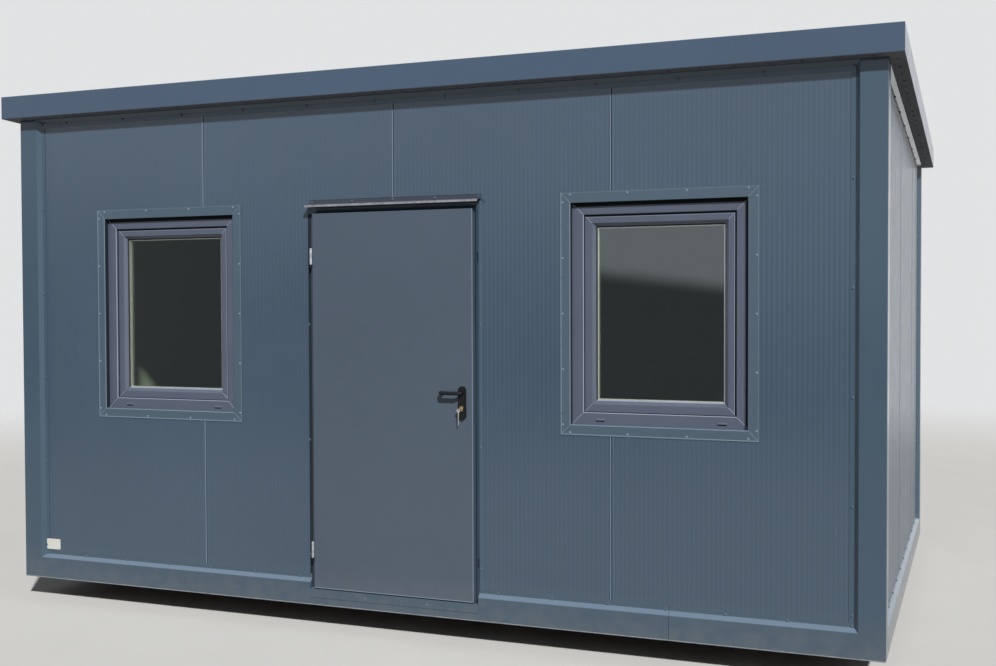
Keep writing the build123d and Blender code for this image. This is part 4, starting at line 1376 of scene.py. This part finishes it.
# %% Spacer and panes
PANE = 4 * MM
SPACER = (8 * MM, 16.5 * MM)
for name, boxes in windows.items():
    low, high = boxes["glass"]
    glass_near, glass_far = low.y + HALF_DEPTH, high.y + HALF_DEPTH
    between = [(SPACER[0], glass_near + PANE), (SPACER[1], glass_near + PANE),
               (SPACER[1], glass_far - PANE), (SPACER[0], glass_far - PANE)]
    add_shape(f"{name}_spacer", ring(boxes["glass"], between), aluminium, "cabin")
    panes = []
    for front in (glass_near, glass_far - PANE):
        vertices = [(x, depth - HALF_DEPTH, z) for depth in (front, front + PANE)
                    for x, z, along, up in corners_of(boxes["glass"])]
        panes.append((vertices, PRISM))
    pair = add_shape(f"{name}_panes", joined(panes), glass, "cabin")
    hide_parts(f"{name}_window_glass")

# %% [markdown]
# ## Mitres and painted highlights of the windows
#
# Frame and sash are cut at 45 degrees and welded, and the flashing's ends lap, so a thin line
# shows on every mitre. The weld lines, the laps, low rims on frame and sash and the hems of the
# flashing are made in paler foil and paint: a painted highlight. A pale edge could come from a
# mask on the material. Low ridges of their own catch the light as the real edges do, and they
# only need a section each.

# %% Lines on the front wall and rolled edges
def line_on_front(start, end, depth, width, height):
    """A thin bar on the front wall between two places, each a distance across and a height."""
    ends = [Vector((across, depth - HALF_DEPTH, up)) for across, up in (start, end)]
    return bar(*ends, outwards("front"), width, height)


def diagonals(box, width, depth, bar_width, bar_height):
    """Bars on the four mitres of a rectangular frame whose members are width wide."""
    return joined([
        line_on_front((x, z), (x + along * width, z + up * width), depth, bar_width, bar_height)
        for x, z, along, up in corners_of(box)
    ])


def rolled(inset, width, rise, depth):
    """The section of a rolled edge: a low ridge with its long flank towards the opening."""
    foot = depth + 0.3 * MM
    return [(inset, foot), (inset + 0.35 * width, depth - rise), (inset + width, foot)]


def face_width(boxes):
    """Width of the window frame that shows beside its sash."""
    return boxes["sash"][0].x - boxes["frame"][0].x


print("window frame shows", round(face_width(windows["left"]) / MM), "mm beside the sash")

# %% Weld lines and rims in paler foil, a painted highlight
SASH_BEVEL = 15 * MM
WELD_WIDTH, WELD_HEIGHT = 3.2 * MM, 1.0 * MM
for name, boxes in windows.items():
    face, frame_near, sash_near = face_width(boxes), near(boxes["frame"]), near(boxes["sash"])
    sash_face = boxes["glass"][0].x + GLASS_LAP - boxes["sash"][0].x - SASH_BEVEL
    welds = [
        diagonals(boxes["frame"], face - 3 * MM, frame_near, WELD_WIDTH, WELD_HEIGHT),
        diagonals(drawn_in(boxes["sash"], 3 * MM), sash_face - 3 * MM, sash_near,
                  WELD_WIDTH, WELD_HEIGHT),
    ]
    # Weld lines in paler foil: a painted highlight.
    add_shape(f"{name}_weld_lines", joined(welds), foil_highlight, "cabin")
    # Rims on the frame's foot, left and right and on the sash's right and head: painted highlight.
    frame_low = rolled(face - 5.2 * MM, 5 * MM, 1.6 * MM, frame_near)
    frame_right = rolled(14.5 * MM, 4 * MM, 1.4 * MM, frame_near)
    sash_high = rolled(9.5 * MM, 4 * MM, 1.4 * MM, sash_near)
    rims = [ring(boxes["frame"], frame_low, ("foot", "left")),
            ring(boxes["frame"], frame_right, ("right",)),
            ring(boxes["sash"], sash_high, ("right", "head"))]
    add_shape(f"{name}_frame_rim", joined(rims), foil_highlight, "cabin")

# %% Hems and laps of the flashings
for name, boxes in windows.items():
    flat = near(boxes["flashing"]) + HEM_RISE
    flange = boxes["frame"][0].x - boxes["flashing"][0].x
    outer_hem = rolled(0.2 * MM, 7 * MM, 1.3 * MM, flat)
    inner_hem = rolled(flange - 5.2 * MM, 5 * MM, 1.0 * MM, flat)
    hems = [ring(boxes["flashing"], outer_hem),
            ring(boxes["flashing"], inner_hem, ("foot", "left"))]
    # Hems and laps in the paler paint: a painted highlight.
    add_shape(f"{name}_flashing_hems", joined(hems), highlight_paint, "cabin")
    laps = diagonals(drawn_in(boxes["flashing"], 5 * MM), flange - 10 * MM, flat,
                     2.6 * MM, 0.8 * MM)
    add_shape(f"{name}_flashing_laps", laps, highlight_paint, "cabin")

# %% [markdown]
# ## Drain caps
#
# Water that gets into a window frame leaves through slots at its foot, under small hoods that
# keep the wind out. A hood could be a box with bevels. Here its side view is drawn once, with
# five corners, and stretched across, narrower at the nose. Below it a thin black bar stands for
# the slot, painted shade of its opening.

# %% Drain caps and mouths
CAP_SHARES = (0.165, 0.855)
CAP_HALF, MOUTH_HALF = 23 * MM, 21 * MM
CAP_NOSE = 0.88
CAP_FOOT = 17 * MM
CAP_PROFILE = [(0, 13), (-2, 11), (-6, 5), (-5, 3), (0, 3)]
for name, boxes in windows.items():
    low, high = boxes["frame"]
    foot = low.z + CAP_FOOT
    hoods, slots = [], []
    for share in CAP_SHARES:
        middle = low.x + (high.x - low.x) * share
        vertices = [(middle + end * CAP_HALF * (CAP_NOSE if out else 1), low.y + out * MM,
                     foot + up * MM) for end in (-1, 1) for out, up in CAP_PROFILE]
        faces = [tuple(range(5)), tuple(range(5, 10))]
        faces += [(index, (index + 1) % 5, (index + 1) % 5 + 5, index + 5) for index in range(5)]
        hoods.append((vertices, faces))
        slots.append(line_on_front((middle - MOUTH_HALF, foot), (middle + MOUTH_HALF, foot),
                                   near(boxes["frame"]), 6 * MM, 0.6 * MM))
    add_shape(f"{name}_drain_caps", joined(hoods), window_foil, "cabin")
    # A black bar for each slot: painted shade of its opening.
    add_shape(f"{name}_drain_mouths", joined(slots), slot_black, "cabin")

# %% [markdown]
# ## Keys in the lock
#
# One key is in the cylinder and the other dangles from it on a split ring. Each is a flat blank
# with a round bow, a shoulder and a cut blade. The hole in the bow could be cut out of a solid
# key. It is simpler to give the hole as many points as the outline, because four-sided faces
# then join the two all the way round.

# %% A flat key
BOW_RADIUS = 9 * MM
BOW_HOLE = 3.2 * MM
BOW_STEPS = 20
BOW_GAP = 0.34
KEY_THICKNESS = 2.2 * MM
BLADE = [(-2.8, -11), (-2.8, -14), (-2, -14), (-2, -40), (-0.8, -43), (0.9, -41), (1.8, -39),
         (0.7, -36.5), (2, -34), (1, -31), (2, -28.5), (0.6, -26), (2, -23.5), (2, -14),
         (2.8, -14), (2.8, -11)]


def flat_key(middle, down, across, stretch=1.0):
    """A key blank: a bow with a hole and a blade that points down, both flat in one plane."""
    normal = down.cross(across).normalized()
    outline = [(x * MM, y * stretch * MM) for x, y in BLADE]
    for step in range(BOW_STEPS + 1):
        angle = 1.5 * pi + BOW_GAP + (2 * pi - 2 * BOW_GAP) * step / BOW_STEPS
        outline.append((BOW_RADIUS * cos(angle), BOW_RADIUS * sin(angle)))
    count = len(outline)
    hole = [(BOW_HOLE * cos(2 * pi * step / count), 3 * MM + BOW_HOLE * sin(2 * pi * step / count))
            for step in range(count)]
    first = min(range(count), key=lambda step: (Vector(hole[step]) - Vector(outline[0])).length)
    hole = hole[first:] + hole[:first]
    vertices, faces = [], []
    for lift in (-KEY_THICKNESS / 2, KEY_THICKNESS / 2):
        for x, y in outline + hole:
            vertices.append(middle + across * x - down * y + normal * lift)
    for index in range(count):
        after = (index + 1) % count
        flat = (index, after, after + count, index + count)
        faces.append(flat)
        faces.append(tuple(2 * count + corner for corner in flat))
        faces.append((index, after, after + 2 * count, index + 2 * count))
        faces.append((index + count, after + count, after + 3 * count, index + 3 * count))
    return vertices, faces


print("key:", len(BLADE), "points on the blade,", BOW_STEPS + 1, "on the bow")


# %% Ring of wire
def torus(middle, axis, radius, wire, steps=28, sides=8):
    """A closed ring of round wire."""
    first = axis.orthogonal().normalized()
    second = axis.cross(first).normalized()
    vertices, faces = [], []
    for step in range(steps):
        angle = 2 * pi * step / steps
        spoke = first * cos(angle) + second * sin(angle)
        for side in range(sides):
            turn = 2 * pi * side / sides
            away = radius + wire * cos(turn)
            vertices.append(middle + spoke * away + axis * (wire * sin(turn)))
    for step in range(steps):
        for side in range(sides):
            here, over = step * sides, ((step + 1) % steps) * sides
            after = (side + 1) % sides
            faces.append((here + side, here + after, over + after, over + side))
    return vertices, faces


KEY_OUT = 12.5 * MM
lock_low, lock_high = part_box("lock_cylinder")
lock_middle = (lock_low.x + lock_high.x) / 2
lock_height = lock_high.z - (lock_high.x - lock_low.x) / 2
in_lock = Vector((lock_middle, lock_low.y - KEY_OUT, lock_height))
ring_middle = in_lock + Vector((-5.5, -4, -5)) * MM
ring_axis = Vector((5, 0, -5.5)).normalized()
hang = Vector((-0.02, 0.04, -1)).normalized()
blade_side = Vector((-0.75, -0.6, 0)).normalized()
key_in_lock = flat_key(in_lock, Vector((0, 1, 0)), Vector((0, 0, 1)))
hanging_key = flat_key(ring_middle + Vector((-5.5, 1, -8)) * MM, hang, blade_side, 1.75)
key_ring = torus(ring_middle, ring_axis, 7.6 * MM, 0.9 * MM)
add_shape("key_in_lock", key_in_lock, brass, "door")
add_shape("hanging_key", hanging_key, nickel, "door")
add_shape("key_ring", key_ring, nickel, "door")

# %% [markdown]
# ## Hinge caps and washers
#
# A lift-off hinge is two knuckles on one pin. The lower one, on the frame, ends in a black cap,
# and a thin washer between the knuckles takes the wear. Both are turned parts. Cylinders would
# need a bevel on each edge; a profile of radius and height that goes round an axis, as on a
# lathe, has its edges from the start, and can be closed or keep a bore.

# %% Turned parts of the hinges
def lathe(middle, profile, sides=20, axis=Vector((0, 0, 1)), bore=0.0):
    """A turned part: a profile of radius and height round an axis, closed or with a bore."""
    first = axis.orthogonal().normalized()
    second = axis.cross(first).normalized()
    if bore:
        profile = [(bore, profile[0][1])] + profile + [(bore, profile[-1][1])]
    vertices, faces = [], []
    for side in range(sides):
        angle = 2 * pi * side / sides
        spoke = first * cos(angle) + second * sin(angle)
        vertices += [middle + spoke * radius + axis * height for radius, height in profile]
    count = len(profile)
    for side in range(sides):
        here, over = side * count, ((side + 1) % sides) * count
        for index in range(count if bore else count - 1):
            after = (index + 1) % count
            faces.append((here + index, here + after, over + after, over + index))
    if not bore:
        faces.append(tuple(side * count for side in range(sides)))
        faces.append(tuple(side * count + count - 1 for side in range(sides)))
    return vertices, faces


HINGE_GAP = 3 * MM
KNUCKLE_RADIUS = 7 * MM
CAP_TURNED = [(4.4 * MM, -18 * MM), (6 * MM, -16.5 * MM), (6.4 * MM, -1 * MM), (5.8 * MM, 0.0)]
WASHER_TURNED = [(6.2 * MM, 0.0), (6.2 * MM, HINGE_GAP - 0.4 * MM)]
lower_low, lower_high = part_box("hinge_frame_halves")
upper_low, upper_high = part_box("hinge_leaf_halves")
knuckle = upper_low.z - lower_low.z - HINGE_GAP
caps, washers = [], []
for foot in (lower_low.z, lower_low.z + (upper_high.z - knuckle - upper_low.z)):
    place = Vector(((lower_low.x + lower_high.x) / 2, lower_low.y + KNUCKLE_RADIUS, foot))
    caps.append(lathe(place, CAP_TURNED))
    above_knuckle = place + Vector((0, 0, knuckle + 0.2 * MM))
    washers.append(lathe(above_knuckle, WASHER_TURNED, bore=4.3 * MM))
add_shape("hinge_caps", joined(caps), nylon, "cabin")
add_shape("hinge_washers", joined(washers), zinc, "cabin")

# %% [markdown]
# ## Folds, hem, sealant and painted shade round the door
#
# The leaf's face sheet is folded round its edge, and that fold is drawn in paler paint at the
# foot and on the lock side, a painted highlight. The door frame's flange has a hem on the lock
# side in lighter paint, also a painted highlight. A dark strip beside the leaf on the hinge side
# is painted shade, a dark bar under the threshold is painted shadow, and dark sealant runs over
# the drip. A stripe in the material below would show each as well. A thin bar on the face that
# carries it also catches the light, as a real fold or bead does. The folds ride on the door and
# the rest stays put.

# %% Lines round the door
FOLD_INSET = 2 * MM
SILL_INSET = 15 * MM
leaf_face = leaf_low.y + HALF_DEPTH
fold_foot, fold_head = leaf_low.z + FOLD_INSET, leaf_high.z - FOLD_INSET
fold_side = leaf_high.x - FOLD_INSET
foot_fold = line_on_front((leaf_low.x + FOLD_INSET, fold_foot), (leaf_high.x - 4 * MM, fold_foot),
                          leaf_face, 4 * MM, 0.6 * MM)
side_fold = line_on_front((fold_side, fold_foot), (fold_side, fold_head), leaf_face,
                          4 * MM, 0.6 * MM)
# Folds in the paler paint: a painted highlight.
add_shape("leaf_edge_folds", joined([foot_fold, side_fold]), highlight_paint, "door")
# The flange's hem, on the lock side only and in lighter paint: a painted highlight.
hem_side = portal_high.x - 2 * MM
hem = line_on_front((hem_side, RAIL_TOP), (hem_side, drip_low.z), SHEET_FACE, 4 * MM, 0.8 * MM)
add_shape("door_flange_hem", hem, screw_paint, "cabin")
# A dark strip beside the leaf on the hinge side: painted shade.
shade_side = portal_low.x + 13.5 * MM
hinge_shade_strip = line_on_front((shade_side, leaf_low.z), (shade_side, leaf_high.z), SHEET_FACE,
                           20 * MM, 0.4 * MM)
add_shape("hinge_side_painted_shade", hinge_shade_strip, tape, "cabin")
# A dark bar under the threshold: painted shadow.
sill_shadow = line_on_front((portal_low.x + SILL_INSET, threshold_low.z),
                     (portal_high.x - SILL_INSET, threshold_low.z), 0.0, 4 * MM, 0.5 * MM)
add_shape("threshold_painted_shadow", sill_shadow, rubber, "cabin")
over_drip = line_on_front((drip_low.x + 1 * MM, drip_high.z), (drip_high.x - 1 * MM, drip_high.z),
                          PANEL_DEPTH, 5 * MM, 1.6 * MM)
add_shape("drip_sealant", over_drip, rubber, "cabin")

# %% [markdown]
# ## Door seal
#
# The frame's rebate has a rubber seal for the leaf to close on, at both sides and the head. It
# shows when the door stands open. It is the same kind of ring as the seals of the windows, and
# ends just behind the closed leaf, so that the two touch without cutting into each other.

# %% Seal in the door's rebate
SEAL_FACE = 48.5 * MM
SEAL_INSET, SEAL_FOOT = 2 * MM, 14 * MM
low = Vector((leaf_low.x + SEAL_INSET, 0, leaf_low.z + SEAL_FOOT))
high = Vector((leaf_high.x - SEAL_INSET, 0, leaf_high.z - SEAL_INSET))
strip = [(0, SEAL_FACE + 0.5 * MM), (1 * MM, SEAL_FACE - 3.5 * MM), (9 * MM, SEAL_FACE - 3.5 * MM),
         (10 * MM, SEAL_FACE + 0.5 * MM)]
door_seal = ring((low, high), strip, ("left", "head", "right"))
add_shape("door_seal", door_seal, rubber, "cabin")

# %% [markdown]
# ## Bare plate
#
# A small plate is riveted to the front near its lower left corner. Its face stays bare. It
# leans a little, because one end lies on the frame's lip and the other on the panel's ribs. A
# box would do for the sheet, but rounded corners are what make it read as a stamped plate.

# %% Plate with rounded corners
PLATE_WIDTH, PLATE_HEIGHT, PLATE_SHEET, PLATE_CORNER = 94 * MM, 60 * MM, 1.2 * MM, 4 * MM
PLATE_LEAN = 0.03
lip_edge = -span("front") + LIP_REACH
plate_left = lip_edge - 18 * MM
plate_foot = RAIL_TOP + 5 * MM
plate_finish = moulded("pale enamelled plate", "#c9c8c0", 0.45)


def plate_depth(x):
    """Depth of the plate's back, which leans from the lip's edge to the ribs of the panel."""
    return LIP_DEPTH + (x - lip_edge) * PLATE_LEAN


outline = []
for is_right, is_top, start in ((1, 1, 0), (0, 1, 90), (0, 0, 180), (1, 0, 270)):
    middle_x = plate_left + (PLATE_WIDTH - PLATE_CORNER if is_right else PLATE_CORNER)
    middle_z = plate_foot + (PLATE_HEIGHT - PLATE_CORNER if is_top else PLATE_CORNER)
    for step in range(4):
        angle = radians(start + 30 * step)
        outline.append((middle_x + PLATE_CORNER * cos(angle), middle_z + PLATE_CORNER * sin(angle)))
vertices = [on_wall("front", x, plate_depth(x) - lift, z)
            for lift in (0, PLATE_SHEET) for x, z in outline]
count = len(outline)
faces = [tuple(range(count)), tuple(range(count, 2 * count))]
faces += [(index, (index + 1) % count, (index + 1) % count + count, index + count)
          for index in range(count)]
add_shape("bare_plate", (vertices, faces), plate_finish, "cabin")

# %% Rivets of the plate
PLATE_RIVET_EDGE = 6 * MM
SMALL_RIVET = {"Washer radius": 3 * MM, "Washer height": 0.4 * MM, "Head radius": 2.6 * MM,
               "Top radius": 1.2 * MM, "Head height": 0.9 * MM, "Sides": 10, "Seed": 7}
places = []
for x in (plate_left + PLATE_RIVET_EDGE, plate_left + PLATE_WIDTH - PLATE_RIVET_EDGE):
    for z in (plate_foot + PLATE_RIVET_EDGE, plate_foot + PLATE_HEIGHT - PLATE_RIVET_EDGE):
        spot = on_wall("front", x, plate_depth(x) - PLATE_SHEET, z)
        places.append((spot, outwards("front")))
fasteners("plate_rivets", places, SMALL_RIVET, zinc)

# %% [markdown]
# ## Seam in the front rail
#
# The front bottom rail is butted together from two lengths, which leaves a fine dark line
# across its face, slope and lip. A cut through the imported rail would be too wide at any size
# that still renders, so a thin dark bar follows the folded section from foot to head.

# %% Butt seam
SEAM_ACROSS = 1.427
SEAM_WIDTH, SEAM_HEIGHT = 1.6 * MM, 0.15 * MM
LIP_WIDTH = 22 * MM
FOLD = RAIL_TOP - LIP_WIDTH
route = [(0, RAIL_LOW + 1 * MM), (0, FOLD - LIP_DEPTH), (LIP_DEPTH, FOLD), (LIP_DEPTH, RAIL_TOP)]
parts = []
for (depth, foot), (next_depth, head) in zip(route, route[1:]):
    start = on_wall("front", SEAM_ACROSS, depth, foot)
    end = on_wall("front", SEAM_ACROSS, next_depth, head)
    normal = (end - start).cross(Vector((1, 0, 0))).normalized()
    parts.append(bar(start, end, -normal if normal.y > 0 else normal, SEAM_WIDTH, SEAM_HEIGHT))
add_shape("rail_seam", joined(parts), slot_black, "cabin")
